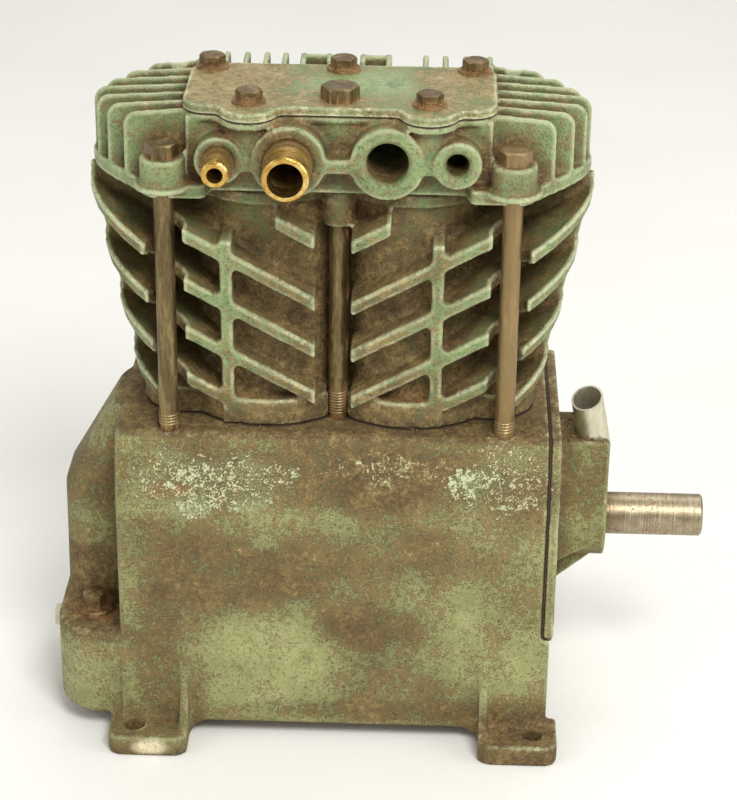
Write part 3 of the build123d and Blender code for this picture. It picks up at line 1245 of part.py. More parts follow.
def valve_seat(kind):
    """Height of a valve's seat and the direction in which it opens."""
    if kind == "discharge":
        return CHAMBER_FLOOR, 1
    return HEAD_Z + valve_stack(), -1


def valve_place(kind, number):
    """Plan position of a valve."""
    x = CYLINDER_X[number]
    if kind == "inlet":
        return x, INLET_VALVE_Y
    return (x - DISCHARGE_VALVE_SHIFT if x < 0 else x + DISCHARGE_VALVE_SHIFT), DISCHARGE_VALVE_Y


def span(kind, start, end):
    """Two heights measured from a valve's seat in its opening direction, low one first."""
    seat, way = valve_seat(kind)
    return sorted((seat + way * start, seat + way * end))


def make_valve_disc(kind, number):
    """The plate that covers one valve port."""
    low, high = span(kind, 0, VALVE_DISC)
    return rod_z(VALVE_DISC_R, *valve_place(kind, number), low, high)


def make_valve_spring(kind, number):
    """The light coil that closes one valve."""
    low, high = span(kind, VALVE_DISC, VALVE_DISC + VALVE_SPRING_LENGTH)
    wire = VALVE_SPRING_WIRE
    rise = high - low - 2 * wire
    path = Helix(rise / 3, rise, VALVE_SPRING_R)
    section = Plane(path @ 0, z_dir=path % 0) * Circle(wire)
    return Pos(*valve_place(kind, number), low + wire) * sweep(section, path=path)


def make_valve_guards(kind):
    """The slotted cups that hold the springs over both valves of one kind."""
    cups = []
    top = valve_stack()
    for number in (0, 1):
        x, y = valve_place(kind, number)
        low, high = span(kind, 0, top)
        cup = rod_z(VALVE_GUARD_R - 0.1, x, y, low, high)
        room_low, room_high = span(kind, -1, top - VALVE_GUARD_WALL)
        cup -= rod_z(VALVE_DISC_R + 0.5, x, y, room_low, room_high)
        slot_low, slot_high = span(kind, VALVE_DISC + 0.8, top - VALVE_GUARD_WALL)
        cup -= block(x - 20, x + 20, y - 3, y + 3, slot_low, slot_high)
        cup -= block(x - 3, x + 3, y - 20, y + 20, slot_low, slot_high)
        hole_low, hole_high = span(kind, 0, top + 1)
        for turn in (45, 135, 225, 315):
            cup -= rod_z(1.8, x + 6 * cos(radians(turn)), y + 6 * sin(radians(turn)),
                         hole_low, hole_high)
        cups.append(cup)
    return Compound(cups)


# ---------------------------------------------------------------- all nodes

def all_nodes():
    """Every node's name and solid."""
    nodes = {
        "crankcase": make_crankcase(),
        "end_housing": make_end_housing(),
        "end_housing_gasket": make_housing_gasket(),
        "end_housing_screws": make_housing_screws(),
        "breather_tube": make_breather_tube(),
        "crankshaft_blind_end": make_crankshaft_blind_end(),
        "crankshaft_middle": make_crankshaft_middle(),
        "crankshaft_drive_end": make_crankshaft_drive_end(),
        "shaft_seal": make_shaft_seal(),
        "cylinder_block": make_cylinder_block(),
        "base_gasket": make_base_gasket(),
        "head_gasket": make_head_gasket(),
        "cylinder_head": make_cylinder_head(),
        "cover_gasket": make_cover_gasket(),
        "head_cover": make_head_cover(),
        "cover_bolts": make_cover_bolts(),
        "cover_washers": make_cover_washers(),
        "tie_bolts": make_tie_bolts(),
        "centre_tie_bolts": make_centre_tie_bolts(),
        "discharge_nipple": make_discharge_nipple(),
        "pilot_nipple": make_pilot_nipple(),
        "oil_fill_plug": make_oil_fill_plug(),
        "oil_drain_plug": make_oil_drain_plug(),
        "inlet_valve_guards": make_valve_guards("inlet"),
        "discharge_valve_guards": make_valve_guards("discharge"),
    }
    for name, x0 in (("drive_bearing", DRIVE_BEARING_X), ("blind_bearing", BLIND_BEARING_X)):
        nodes[name + "_outer_race"] = make_outer_race(x0)
        nodes[name + "_inner_race"] = make_inner_race(x0)
        nodes[name + "_balls"] = make_balls(x0)
        nodes[name + "_cage"] = make_cage(x0)
    for number in (0, 1):
        label = "_" + str(number + 1)
        nodes["crankpin" + label] = make_crankpin(number)
        nodes["connecting_rod" + label] = make_rod(number)
        nodes["rod_cap" + label] = make_rod_cap(number)
        nodes["rod_bolts" + label] = make_rod_bolts(number)
        nodes["wrist_pin" + label] = make_wrist_pin(number)
        nodes["wrist_pin_clips" + label] = make_wrist_pin_clips(number)
        nodes["piston" + label] = make_piston(number)
        nodes["piston_rings" + label] = make_piston_rings(number)
        for kind in ("inlet", "discharge"):
            nodes[kind + "_valve_disc" + label] = make_valve_disc(kind, number)
            nodes[kind + "_valve_spring" + label] = make_valve_spring(kind, number)
    return nodes


os.makedirs("parts", exist_ok=True)
for node, solid in all_nodes().items():
    export_step(solid, "parts/" + node + ".step")
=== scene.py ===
import json
import math
import random
import bmesh
import bpy
from mathutils import Matrix, Vector


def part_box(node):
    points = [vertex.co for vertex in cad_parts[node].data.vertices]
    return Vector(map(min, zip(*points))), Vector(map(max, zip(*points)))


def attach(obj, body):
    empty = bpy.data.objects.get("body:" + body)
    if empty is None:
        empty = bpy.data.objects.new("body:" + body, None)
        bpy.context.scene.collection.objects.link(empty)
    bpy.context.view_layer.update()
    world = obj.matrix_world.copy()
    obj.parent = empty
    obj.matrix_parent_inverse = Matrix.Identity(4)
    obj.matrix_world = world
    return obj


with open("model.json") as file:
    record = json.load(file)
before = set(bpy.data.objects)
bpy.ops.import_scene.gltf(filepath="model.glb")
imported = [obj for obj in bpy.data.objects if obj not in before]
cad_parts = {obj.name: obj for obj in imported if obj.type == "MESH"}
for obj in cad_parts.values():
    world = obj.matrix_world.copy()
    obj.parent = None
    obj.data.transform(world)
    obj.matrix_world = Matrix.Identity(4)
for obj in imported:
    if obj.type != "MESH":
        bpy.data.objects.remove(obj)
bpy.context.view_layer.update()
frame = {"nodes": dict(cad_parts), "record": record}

NODES = frame["nodes"]
SLOT_OF = {part["node"]: part["material_slot"] for part in frame["record"]["subparts"]}
FIXED_BODY = "compressor"
DECK_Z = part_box("crankcase")[1].z

# All lengths and places below are in metres, unless a comment says otherwise.

# Castings: the voxel of the rounded skin and the rounds of smoothing.
CASTINGS = {
    "crankcase": (0.0014, 6),
    "cylinder_block": (0.0014, 5),
    "cylinder_head": (0.0011, 4),
    "end_housing": (0.0012, 5),
}
BEVELLED = ("tie_bolts", "centre_tie_bolts", "cover_bolts", "cover_washers", "head_cover",
            "oil_fill_plug", "discharge_nipple", "pilot_nipple")
BEVEL_WIDTH = 0.0004
BEVEL_DEGREES = 35

# Threads of the tie bolts where they enter the deck. A profile point is a radius and a
# share of the pitch.
THREAD_ROOT = 0.0054
THREAD_CREST = 0.00585
THREAD_BURIED = THREAD_ROOT - 0.0003
THREAD_PITCH = 0.0018
THREAD_START = 0.0015
THREAD_STEPS = 36
THREAD_PROFILE = ((THREAD_BURIED, -0.5), (THREAD_ROOT, -0.42), (THREAD_CREST, -0.08),
                  (THREAD_CREST, 0.08), (THREAD_ROOT, 0.42), (THREAD_BURIED, 0.5))
CORNER_THREAD_TOP = 0.009
CENTRE_THREAD_TOP = 0.016

# The bolt heads' half widths, which set the bolts' axes in from their box.
CORNER_HALF_CORNERS = 0.0096
CORNER_HALF_FLATS = 0.0083
CENTRE_HALF_FLATS = 0.0093

# Loose grains: on the end housing's boss, on the deck's drive end and beside the cylinders.
GRAINS = 420
GRAIN_RADIUS = (0.0003, 0.0011)
GRAIN_LIFT = 0.35
BOSS_Z = 0.1775
BOSS_X = 0.131
BOSS_Y = (-0.019, 0.018)
DECK_END_X = 0.06
DECK_END_Y = (0.040, 0.058)
GRAIN_MARGIN = 0.002

# Lamps: name, place, what it aims at, width and watts.
LAMPS = (
    ("key", (0.6, -1.4, 1.9), (0.0, 0.0, 0.2), 0.8, 37),
    ("fill", (-1.4, -0.9, 0.9), (0.0, 0.0, 0.2), 1.2, 6),
    ("side", (1.6, -0.5, 0.8), (0.0, 0.0, 0.2), 1.0, 8),
    ("top", (0.2, 1.3, 2.3), (0.0, 0.2, 0.2), 1.4, 17),
)
SKY_COLOUR = (1.0, 0.99, 0.97, 1.0)
SKY_STRENGTH = 0.56
FLOOR_HALF = 6.0
FLOOR_Z = -0.0004

# The viewpoint: lens and sensor in millimetres, angles in degrees.
LENS = 110.1
SENSOR = 36.0
CAMERA_AZIMUTH = 1.56
CAMERA_PITCH = 26.39
CAMERA_ROLL = 0.72
CAMERA_TARGET = (0.01665, 0.0, 0.1915)
CAMERA_DISTANCE = 1.4538
CAMERA_CLIP = (0.05, 30.0)

# Display colours, 0 to 255, of the paint, the dirt and the bare metals.
MINTS = ((88, 108, 64), (136, 154, 102), (176, 188, 138))
SAGES = ((104, 106, 64), (156, 157, 101), (190, 192, 140))
# The soil colours also paint the shade in hollows and recesses, mixed with the dirt.
SOILS = ((54, 40, 22), (104, 84, 48), (150, 130, 80))
BLOCK_SOILS = ((50, 36, 20), (112, 92, 54), (160, 138, 86))
COVER_SOILS = ((96, 78, 48), (146, 128, 84), (168, 154, 112))
DUST = (160, 134, 92)
RUSTS = ((82, 52, 24), (146, 96, 48), DUST)
# FLAKE and CREAM also paint highlights along the outward edges, with the rubbed paint.
FLAKE = (198, 208, 164)
CREAM = (228, 216, 178)

# Sockets of the colour form of the Mix node.
MIX_AMOUNT = 0
MIX_FIRST = 6
MIX_SECOND = 7
MIX_RESULT = 2
# Where a colour ramp's first stop lies, and how far on its last one is.
RAMP_START = 0.28
RAMP_SPAN = 0.44
AO_SAMPLES = 5
UPWARD_RANGE = (0.25, 0.95)
SPOT_RANGE = (1.2, 0.45)

# Where each mask of the enamel begins and where it is full, and how much a full one hides.
DIRT_AND_SHADE_RANGE = (-0.16, 0.30)
RUST_RANGE, RUST_COVER = (0.0, 0.3), 0.85
FLAKE_RANGE, FLAKE_COVER = (0.78, 0.86), 0.8
WEAR_AND_HIGHLIGHT_RANGE, WEAR_AND_HIGHLIGHT_COVER = (0.20, 0.52), 0.85
PIT_RANGE, PIT_COVER = (0.60, 0.68), 0.55

# Stretches along which the bare metals change, from none to full.
PALE_BOLT_X = (0.05, 0.09)
SHAFT_ROOT_X = (0.170, 0.161)
STUB_TIP_Y = (-0.064, -0.076)

# Patches on the castings: centre, reach along X, Y and Z, and how much is added there. A
# bare patch has no amount. Two of the case's dirt patches paint shade.
CASE_STAINS_AND_SHADE = (
    ((-0.065, -0.072, 0.112), (0.056, 0.03, 0.030), 0.34),
    ((0.030, -0.072, 0.130), (0.070, 0.03, 0.020), 0.16),
    ((0.022, -0.072, 0.078), (0.036, 0.03, 0.018), 0.34),
    ((0.026, -0.068, 0.172), (0.030, 0.03, 0.022), 0.24),
    ((0.0, -0.068, 0.175), (0.150, 0.03, 0.026), 0.30),
    ((0.020, -0.072, 0.020), (0.090, 0.03, 0.008), 0.22),
    ((-0.045, -0.072, 0.052), (0.052, 0.03, 0.036), -0.32),
    ((0.090, -0.072, 0.062), (0.036, 0.03, 0.036), -0.26),
    ((-0.060, -0.072, 0.152), (0.080, 0.03, 0.008), -0.10),
    ((-0.105, -0.072, 0.060), (0.016, 0.03, 0.050), 0.22),
    # The next two patches paint shade in the set-back hollow of the left end, just above its
    # ledge.
    ((-0.150, -0.010, 0.085), (0.030, 0.06, 0.022), 0.9),
    ((-0.145, -0.040, 0.070), (0.040, 0.05, 0.010), 0.6),
    ((-0.150, -0.030, 0.150), (0.030, 0.05, 0.020), 0.25),
    ((-0.160, -0.050, 0.040), (0.030, 0.05, 0.018), -0.15),
    ((0.118, -0.088, 0.012), (0.040, 0.03, 0.020), 0.4),
    ((0.0, 0.0, 0.199), (0.2, 0.12, 0.004), 0.5),
)
CASE_FLAKES = (
    ((-0.072, -0.069, 0.170), (0.062, 0.03, 0.028), 0.31),
    ((0.094, -0.069, 0.172), (0.036, 0.03, 0.028), 0.25),
    ((0.030, -0.069, 0.180), (0.060, 0.03, 0.014), 0.20),
    ((-0.110, -0.072, 0.100), (0.020, 0.03, 0.060), 0.05),
)
CASE_RUST = (
    ((-0.098, -0.070, 0.166), (0.018, 0.03, 0.008), 0.22),
    ((-0.010, -0.070, 0.140), (0.070, 0.03, 0.014), 0.12),
    ((-0.100, -0.080, 0.060), (0.020, 0.03, 0.030), 0.14),
    ((-0.145, -0.043, 0.069), (0.018, 0.018, 0.006), 0.30),
)
CASE_BARE = (((-0.1075, -0.097, 0.006), (0.011, 0.004, 0.006)),)
BLOCK_STAINS = (
    ((0.0, -0.045, 0.250), (0.050, 0.05, 0.090), 0.30),
    ((0.0, -0.045, 0.215), (0.150, 0.06, 0.018), 0.20),
    ((-0.075, -0.050, 0.300), (0.030, 0.03, 0.050), -0.15),
    ((0.080, -0.050, 0.290), (0.030, 0.03, 0.050), -0.15),
)
HEAD_STAINS = (
    ((-0.010, -0.055, 0.350), (0.100, 0.02, 0.010), 0.25),
    ((0.105, -0.040, 0.352), (0.030, 0.03, 0.010), 0.25),
    ((-0.040, -0.050, 0.378), (0.030, 0.02, 0.012), 0.3),
    ((0.027, -0.044, 0.363), (0.015, 0.016, 0.015), 1.2),
    ((0.065, -0.048, 0.363), (0.009, 0.012, 0.009), 1.2),
)
COVER_STAINS = (
    ((-0.060, -0.010, 0.391), (0.040, 0.05, 0.010), 0.42),
    ((0.068, -0.010, 0.391), (0.030, 0.05, 0.010), 0.34),
    ((0.010, -0.005, 0.391), (0.040, 0.03, 0.010), -0.35),
)


def linear(colour):
    """A display colour as the linear value that a shader socket takes."""
    channels = []
    for value in colour:
        part = value / 255
        channels.append(part / 12.92 if part <= 0.04045 else ((part + 0.055) / 1.055) ** 2.4)
    return (*channels, 1.0)


class Graph:
    """Builds one material; positions are the part's own."""

    def __init__(self, name):
        self.material = bpy.data.materials.new(name)
        self.material.use_nodes = True
        self.tree = self.material.node_tree
        self.shader = self.tree.nodes["Principled BSDF"]
        self.place = self.add("ShaderNodeTexCoord").outputs["Object"]
        split = self.add("ShaderNodeSeparateXYZ", {"Vector": self.place})
        self.x = split.outputs["X"]
        self.y = split.outputs["Y"]

    def plug(self, socket, value):
        """Links a socket or sets its constant."""
        if isinstance(value, bpy.types.NodeSocket):
            self.tree.links.new(value, socket)
        else:
            socket.default_value = value

    def add(self, kind, inputs=(), **settings):
        """A new node with its settings and inputs."""
        node = self.tree.nodes.new(kind)
        for key, value in settings.items():
            setattr(node, key, value)
        for key, value in dict(inputs).items():
            self.plug(node.inputs[key], value)
        return node

    def math(self, operation, first, second):
        """One sum on plain values."""
        node = self.add("ShaderNodeMath", {0: first, 1: second}, operation=operation)
        return node.outputs[0]

    def vector(self, operation, first, second):
        """One sum on vectors."""
        node = self.add("ShaderNodeVectorMath", {0: first, 1: second}, operation=operation)
        return node.outputs[0]

    def total(self, *terms):
        """The sum of (value, weight) pairs and plain values."""
        result = 0.0
        for term in terms:
            if isinstance(term, tuple):
                term = self.math("MULTIPLY", *term)
            result = self.math("ADD", result, term)
        return result

    def noise(self, size, detail=3.0, rough=0.6, at=None):
        """Noise about 0.5, with features about size across."""
        inputs = {"Vector": at or self.place, "Scale": 1 / size, "Detail": detail,
                  "Roughness": rough}
        return self.add("ShaderNodeTexNoise", inputs).outputs["Fac"]

    def centred(self, noise):
        """The noise about 0."""
        return self.math("SUBTRACT", noise, 0.5)

    def ripple(self, size):
        """New noise about 0."""
        return self.centred(self.noise(size))

    def step(self, value, low, high):
        """0 at low, 1 at high and soft between them."""
        inputs = {"Value": value, "From Min": low, "From Max": high}
        node = self.add("ShaderNodeMapRange", inputs, interpolation_type="SMOOTHSTEP")
        return node.outputs["Result"]

    def mix(self, amount, first, second):
        """The first colour at amount 0, the second at 1."""
        node = self.add("ShaderNodeMix", data_type="RGBA")
        self.plug(node.inputs[MIX_AMOUNT], amount)
        self.plug(node.inputs[MIX_FIRST], first)
        self.plug(node.inputs[MIX_SECOND], second)
        return node.outputs[MIX_RESULT]

    def cover(self, colour, mask, share, over):
        """The colour with another one over it, which hides that share of it where mask is 1."""
        return self.mix(self.math("MULTIPLY", mask, share), colour, over)

    def shades(self, value, *colours):
        """Evenly spaced display colours along value."""
        ramp = self.add("ShaderNodeValToRGB", {"Fac": value})
        stops = ramp.color_ramp.elements
        while len(stops) < len(colours):
            stops.new(0.5)
        for index, colour in enumerate(colours):
            stops[index].position = RAMP_START + RAMP_SPAN * index / (len(colours) - 1)
            stops[index].color = linear(colour)
        return ramp.outputs["Color"]

    def spot(self, centre, reach, ragged=0.9, size=0.018):
        """1 within a ragged round patch, 0 outside it."""
        away = self.vector("DIVIDE", self.vector("SUBTRACT", self.place, centre), reach)
        node = self.add("ShaderNodeVectorMath", {0: away}, operation="LENGTH")
        far = self.total(node.outputs["Value"], (self.ripple(size), ragged))
        return self.step(far, *SPOT_RANGE)

    def spots(self, patches, *look):
        """Weighted terms for total, from (centre, reach, amount) patches."""
        return [(self.spot(centre, reach, *look), amount) for centre, reach, amount in patches]

    def crevice(self, reach):
        """1 deep in hollows and 0 on open faces."""
        node = self.add("ShaderNodeAmbientOcclusion", {"Distance": reach}, samples=AO_SAMPLES)
        return self.math("SUBTRACT", 1.0, node.outputs["AO"])

    def edge(self, reach):
        """Above 0 along outward edges."""
        node = self.add("ShaderNodeAmbientOcclusion", {"Distance": reach}, samples=AO_SAMPLES,
                        inside=True, only_local=True)
        return self.math("SUBTRACT", 1.0, node.outputs["AO"])

    def upward(self):
        """1 on faces that look up."""
        normal = self.add("ShaderNodeNewGeometry").outputs["Normal"]
        split = self.add("ShaderNodeSeparateXYZ", {"Vector": normal})
        return self.step(split.outputs["Z"], *UPWARD_RANGE)

    def finish(self, colour, rough, metal, *bumps):
        """Bumps are (height, depth) pairs, coarse ones first."""
        self.plug(self.shader.inputs["Base Color"], colour)
        self.plug(self.shader.inputs["Roughness"], rough)
        self.plug(self.shader.inputs["Metallic"], metal)
        normal = None
        for height, depth in bumps:
            node = self.add("ShaderNodeBump", {"Height": height, "Distance": depth})
            if normal:
                self.plug(node.inputs["Normal"], normal)
            normal = node.outputs["Normal"]
        self.plug(self.shader.inputs["Normal"], normal)
        return self.material


class Enamel(Graph):
    """Masks, from 0 to 1, of worn enamel on cast iron, with painted shade in hollows and
    painted highlights on edges, and the noise that they share.
    """

    def __init__(self, name, reach):
        super().__init__(name)
        self.broad = self.noise(0.055, 4.0)
        self.middle = self.noise(0.013, 4.0)
        self.fine = self.noise(0.0036, 4.0, 0.7)
        self.grit = self.noise(0.0012, 3.0, 0.7)
        self.hollows = self.crevice(reach)

    def dirt(self, soil, hollow, dust, stains):
        """Caked dirt in hollows, on faces that look up and in the stains, and painted shade in
        hollows.
        """
        # The hollows term is caked dirt and painted shade in hollows and recesses.
        terms = [soil, (self.centred(self.broad), 1.2), (self.centred(self.middle), 1.2),
                 (self.centred(self.fine), 2.0), (self.centred(self.grit), 2.0),
                 (self.hollows, hollow), (self.upward(), dust), *self.spots(stains)]
        return self.step(self.total(*terms), *DIRT_AND_SHADE_RANGE)

    def rust(self, patches):
        """Rust that bleeds through."""
        rusted = self.total(-0.74, (self.middle, 0.7), (self.fine, 0.5), (self.hollows, 0.25),
                            *self.spots(patches))
        return self.step(rusted, *RUST_RANGE)

    def loose(self, flakes, patches):
        """Small pale flakes of loose paint."""
        loose = self.total(flakes - 0.375, (self.grit, 0.8), (self.fine, 0.7),
                           (self.broad, 0.25), *self.spots(patches, 1.2, 0.025))
        return self.step(loose, *FLAKE_RANGE)

    def wear_and_highlight(self, edge):
        """Paint rubbed pale along the edges, which also paints highlights there."""
        worn = self.total((self.edge(0.0026), 1.5 * edge), (self.centred(self.fine), 1.0),
                          (self.centred(self.middle), 0.8), (self.hollows, -0.7))
        return self.step(worn, *WEAR_AND_HIGHLIGHT_RANGE)

    def pits(self, worn):
        """Dark pin holes, fewer where the paint is worn."""
        pitted = self.total((self.noise(0.0017, 2.0), 1.0), (self.hollows, 0.12), (worn, -0.1))
        return self.step(pitted, *PIT_RANGE)


def enamel(name, *, soil, hollow, dust, flakes, gloss, stains, edge=1.0, reach=0.014,
           paints=MINTS, soils=SOILS, flaked=(), rusty=(), bare=()):
    """Worn enamel with dirt and painted shade, rust, flakes, rubbed edges that also paint
    highlights, and pits, from the paint upward.
    """
    g = Enamel(name, reach)
    paint = g.total((g.middle, 0.6), (g.fine, 0.6), (g.grit, 0.5), -0.35)
    caked_and_shaded = g.total((g.middle, 0.5), (g.fine, 0.6), (g.grit, 0.5), -0.3)
    # The dirt mask also paints shade in hollows, and the soil colours stand in for it there.
    soiled_and_shaded = g.dirt(soil, hollow, dust, stains)
    colour = g.mix(soiled_and_shaded, g.shades(paint, *paints), g.shades(caked_and_shaded, *soils))
    colour = g.cover(colour, g.rust(rusty), RUST_COVER, g.shades(g.fine, *RUSTS))
    colour = g.cover(colour, g.loose(flakes, flaked), FLAKE_COVER, linear(FLAKE))
    # Pale rubbed edges, which also stand in for highlights on the outward edges.
    worn = g.wear_and_highlight(edge)
    rubbed = g.shades(g.grit, MINTS[-1], FLAKE, CREAM)
    colour = g.cover(colour, worn, WEAR_AND_HIGHLIGHT_COVER, rubbed)
    for centre, size in bare:
        colour = g.mix(g.spot(centre, size, 0.7, 0.01), colour, linear(CREAM))
    colour = g.cover(colour, g.pits(worn), PIT_COVER, linear(SOILS[0]))
    rough = g.total(gloss, (soiled_and_shaded, 0.28), (worn, -0.12), (g.centred(g.fine), 0.3))
    return g.finish(colour, rough, 0.0, (g.middle, 0.0012), (g.fine, 0.0006),
                    (g.grit, 0.00025), (soiled_and_shaded, 0.0002))


def old_steel(name, *colours, rough, rust, metal=0.55, streak=1.0, pale=0.0):
    """Browned steel; streak above 1 draws the marks out along Z, pale dusts the drive end."""
    g = Graph(name)
    drawn = g.vector("MULTIPLY", g.place, (1.0, 1.0, 1 / streak))
    marks = g.noise(0.006, 4.0, 0.65, drawn)
    fine = g.noise(0.0009, 3.0, 0.6, drawn)
    colour = g.shades(g.total((marks, 0.65), (fine, 0.35)), *colours)
    depth = g.total((marks, 1.0), (fine, 0.5), (g.crevice(0.006), 0.6))
    rusted = g.step(depth, 1.05 - rust, 1.3 - rust)
    colour = g.cover(colour, rusted, 0.8, g.shades(fine, *RUSTS))
    colour = g.cover(colour, g.step(g.x, *PALE_BOLT_X), pale, linear(DUST))
    bright = g.step(g.total(g.edge(0.001), (g.centred(fine), 0.4)), 0.16, 0.4)
    colour = g.cover(colour, bright, 0.5, linear(colours[-1]))
    shine = g.total(rough, (rusted, 0.3), (g.centred(fine), 0.35))
    dull = g.math("MULTIPLY", g.math("SUBTRACT", 1.0, rusted), metal)
    return g.finish(colour, shine, dull, (marks, 0.0004), (fine, 0.00012))


def turned_steel(name):
    """Bright turned steel with fine rings, rust spots and a brown root."""
    g = Graph(name)
    ring = g.noise(0.0007, 2.0, 0.6, g.vector("MULTIPLY", g.place, (1.0, 0.02, 0.02)))
    marks = g.noise(0.008)
    fine = g.noise(0.0016)
    colour = g.shades(g.total((ring, 0.5), (marks, 0.5)), (118, 104, 80), (160, 147, 120),
                      (206, 196, 172))
    spots = g.step(g.total((marks, 1.0), (fine, 0.6)), 0.86, 1.02)
    colour = g.cover(colour, spots, 0.7, g.shades(fine, (96, 58, 36), (140, 90, 56)))
    root = g.step(g.total(g.x, (g.ripple(0.01), 0.006)), *SHAFT_ROOT_X)
    colour = g.cover(colour, root, 0.6, linear(SOILS[1]))
    shine = g.total(0.42, (spots, 0.35), (g.centred(ring), 0.3))
    dull = g.math("SUBTRACT", 0.95, g.math("MULTIPLY", spots, 0.7))
    return g.finish(colour, shine, dull, (ring, 0.00015), (fine, 0.0001))


def brass(name):
    """Brass that is bright at the tip of a stub and brown at its root."""
    g = Graph(name)
    fine = g.noise(0.0012)
    marks = g.noise(0.006, 4.0)
    tip = g.step(g.total(g.y, (g.ripple(0.006), 0.01)), *STUB_TIP_Y)
    bright = g.shades(marks, (170, 128, 58), (206, 168, 88), (238, 214, 150))
    brown = g.shades(g.total((marks, 0.5), (fine, 0.5)), (70, 52, 28), (124, 98, 56),
                     (160, 130, 78))
    grime = g.step(g.crevice(0.005), 0.3, 0.8)
    colour = g.cover(g.mix(tip, brown, bright), grime, 0.7, linear((58, 42, 22)))
    shine = g.total(0.55, (tip, -0.28), (g.centred(fine), 0.3))
    return g.finish(colour, shine, g.total(0.45, (tip, 0.5)), (marks, 0.0004), (fine, 0.0002))


def machined(name, dark, light, rough, metal, size=0.0015):
    """A machined inner part with faint tool marks and oil stains."""
    g = Graph(name)
    fine = g.noise(size)
    marks = g.noise(0.012, 4.0)
    colour = g.shades(g.total((marks, 0.6), (fine, 0.4)), dark, light)
    shine = g.total(rough, (g.centred(marks), 0.4))
    return g.finish(colour, shine, metal, (fine, 0.00006), (marks, 0.0001))


def soft_dark(name, dark, light, rough):
    """Oily gasket fibre or seal rubber."""
    g = Graph(name)
    fine = g.noise(0.0012)
    marks = g.noise(0.008, 4.0)
    colour = g.shades(g.total((marks, 0.5), (fine, 0.5)), dark, light)
    shine = g.total(rough, (g.centred(marks), 0.4))
    return g.finish(colour, shine, 0.0, (marks, 0.0006), (fine, 0.0002))


def make_materials():
    """One material for each slot of the record."""
    return {
        "case_paint": enamel(
            "case_paint", soil=0.06, hollow=1.1, dust=0.25, flakes=-0.02, gloss=0.55,
            stains=CASE_STAINS_AND_SHADE, edge=0.9, paints=SAGES, flaked=CASE_FLAKES,
            rusty=CASE_RUST, bare=CASE_BARE),
        "block_paint": enamel(
            "block_paint", soil=0.04, hollow=1.6, dust=0.2, flakes=-0.04, gloss=0.45,
            stains=BLOCK_STAINS, edge=1.7, reach=0.018, soils=BLOCK_SOILS),
        "head_paint": enamel(
            "head_paint", soil=-0.16, hollow=1.5, dust=0.05, flakes=-0.03, gloss=0.34,
            stains=HEAD_STAINS, edge=1.5, reach=0.012),
        "cover_paint": enamel(
            "cover_paint", soil=0.06, hollow=0.8, dust=0.0, flakes=-0.02, gloss=0.34,
            stains=COVER_STAINS, soils=COVER_SOILS),
        "dark_bolt": old_steel(
            "dark_bolt", (62, 46, 26), (108, 88, 56), (160, 142, 98), rough=0.45, rust=0.24),
        "rod_steel": old_steel(
            "rod_steel", (58, 46, 28), (106, 90, 58), (158, 140, 96), rough=0.36, rust=0.2,
            metal=0.7, streak=6.0, pale=0.5),
        "bright_steel": turned_steel("bright_steel"),
        "tube_steel": old_steel(
            "tube_steel", (166, 159, 134), (202, 196, 172), (228, 224, 204), rough=0.36,
            rust=0.0, metal=0.85, streak=3.0),
        "brass": brass("brass"),
        "gasket": soft_dark("gasket", (26, 18, 12), (72, 54, 34), 0.7),
        "seal_rubber": soft_dark("seal_rubber", (16, 15, 14), (48, 44, 38), 0.5),
        "bearing_steel": machined("bearing_steel", (150, 146, 138), (206, 204, 198), 0.22, 1.0),
        "piston_alloy": machined("piston_alloy", (140, 136, 128), (196, 194, 188), 0.38, 0.9),
        "forged_steel": machined("forged_steel", (92, 86, 76), (146, 140, 128), 0.45, 0.8),
        "bare_iron": machined("bare_iron", (84, 78, 70), (128, 122, 112), 0.6, 0.5, 0.0022),
    }


def show(name, data):
    """A new object in the scene."""
    thing = bpy.data.objects.new(name, data)
    bpy.context.collection.objects.link(thing)
    return thing


def soften(node, voxel, rounds):
    """Rounds a casting's edges as a sand mould leaves them."""
    skin = NODES[node].modifiers.new("skin", "REMESH")
    skin.mode = "VOXEL"
    skin.voxel_size = voxel
    skin.use_smooth_shade = True
    smooth = NODES[node].modifiers.new("soft", "SMOOTH")
    smooth.factor = 0.5
    smooth.iterations = rounds


def break_edges(node):
    """A narrow rounded bevel on the sharp edges of a turned or pressed part."""
    bevel = NODES[node].modifiers.new("edges", "BEVEL")
    bevel.width = BEVEL_WIDTH
    bevel.segments = 2
    bevel.limit_method = "ANGLE"
    bevel.angle_limit = math.radians(BEVEL_DEGREES)


def dress(materials):
    """Gives every node its material and its rounded or broken edges."""
    for node, thing in NODES.items():
        thing.data.materials.clear()
        thing.data.materials.append(materials[SLOT_OF[node]])
    for node, (voxel, rounds) in CASTINGS.items():
        soften(node, voxel, rounds)
    for node in BEVELLED:
        break_edges(node)


def thread_mesh(name, x, y, bottom, top):
    """A screw thread on an upright bar, as a closed spiral ridge."""
    steps = int((top - bottom) / THREAD_PITCH * THREAD_STEPS)
    points = []
    for index in range(steps + 1):
        angle = 2 * math.pi * index / THREAD_STEPS
        middle = bottom + THREAD_PITCH * index / THREAD_STEPS
        for radius, shift in THREAD_PROFILE:
            points.append((x + radius * math.cos(angle), y + radius * math.sin(angle),
                           middle + shift * THREAD_PITCH))
    count = len(THREAD_PROFILE)
    faces = []
    for index in range(steps):
        for side in range(count):
            a = index * count + side
            b = index * count + (side + 1) % count
            faces.append((a, a + count, b + count, b))
    faces.append(tuple(range(count)))
    faces.append(tuple(steps * count + side for side in reversed(range(count))))
    mesh = bpy.data.meshes.new(name)
    mesh.from_pydata(points, [], faces)
    mesh.validate()
    return mesh


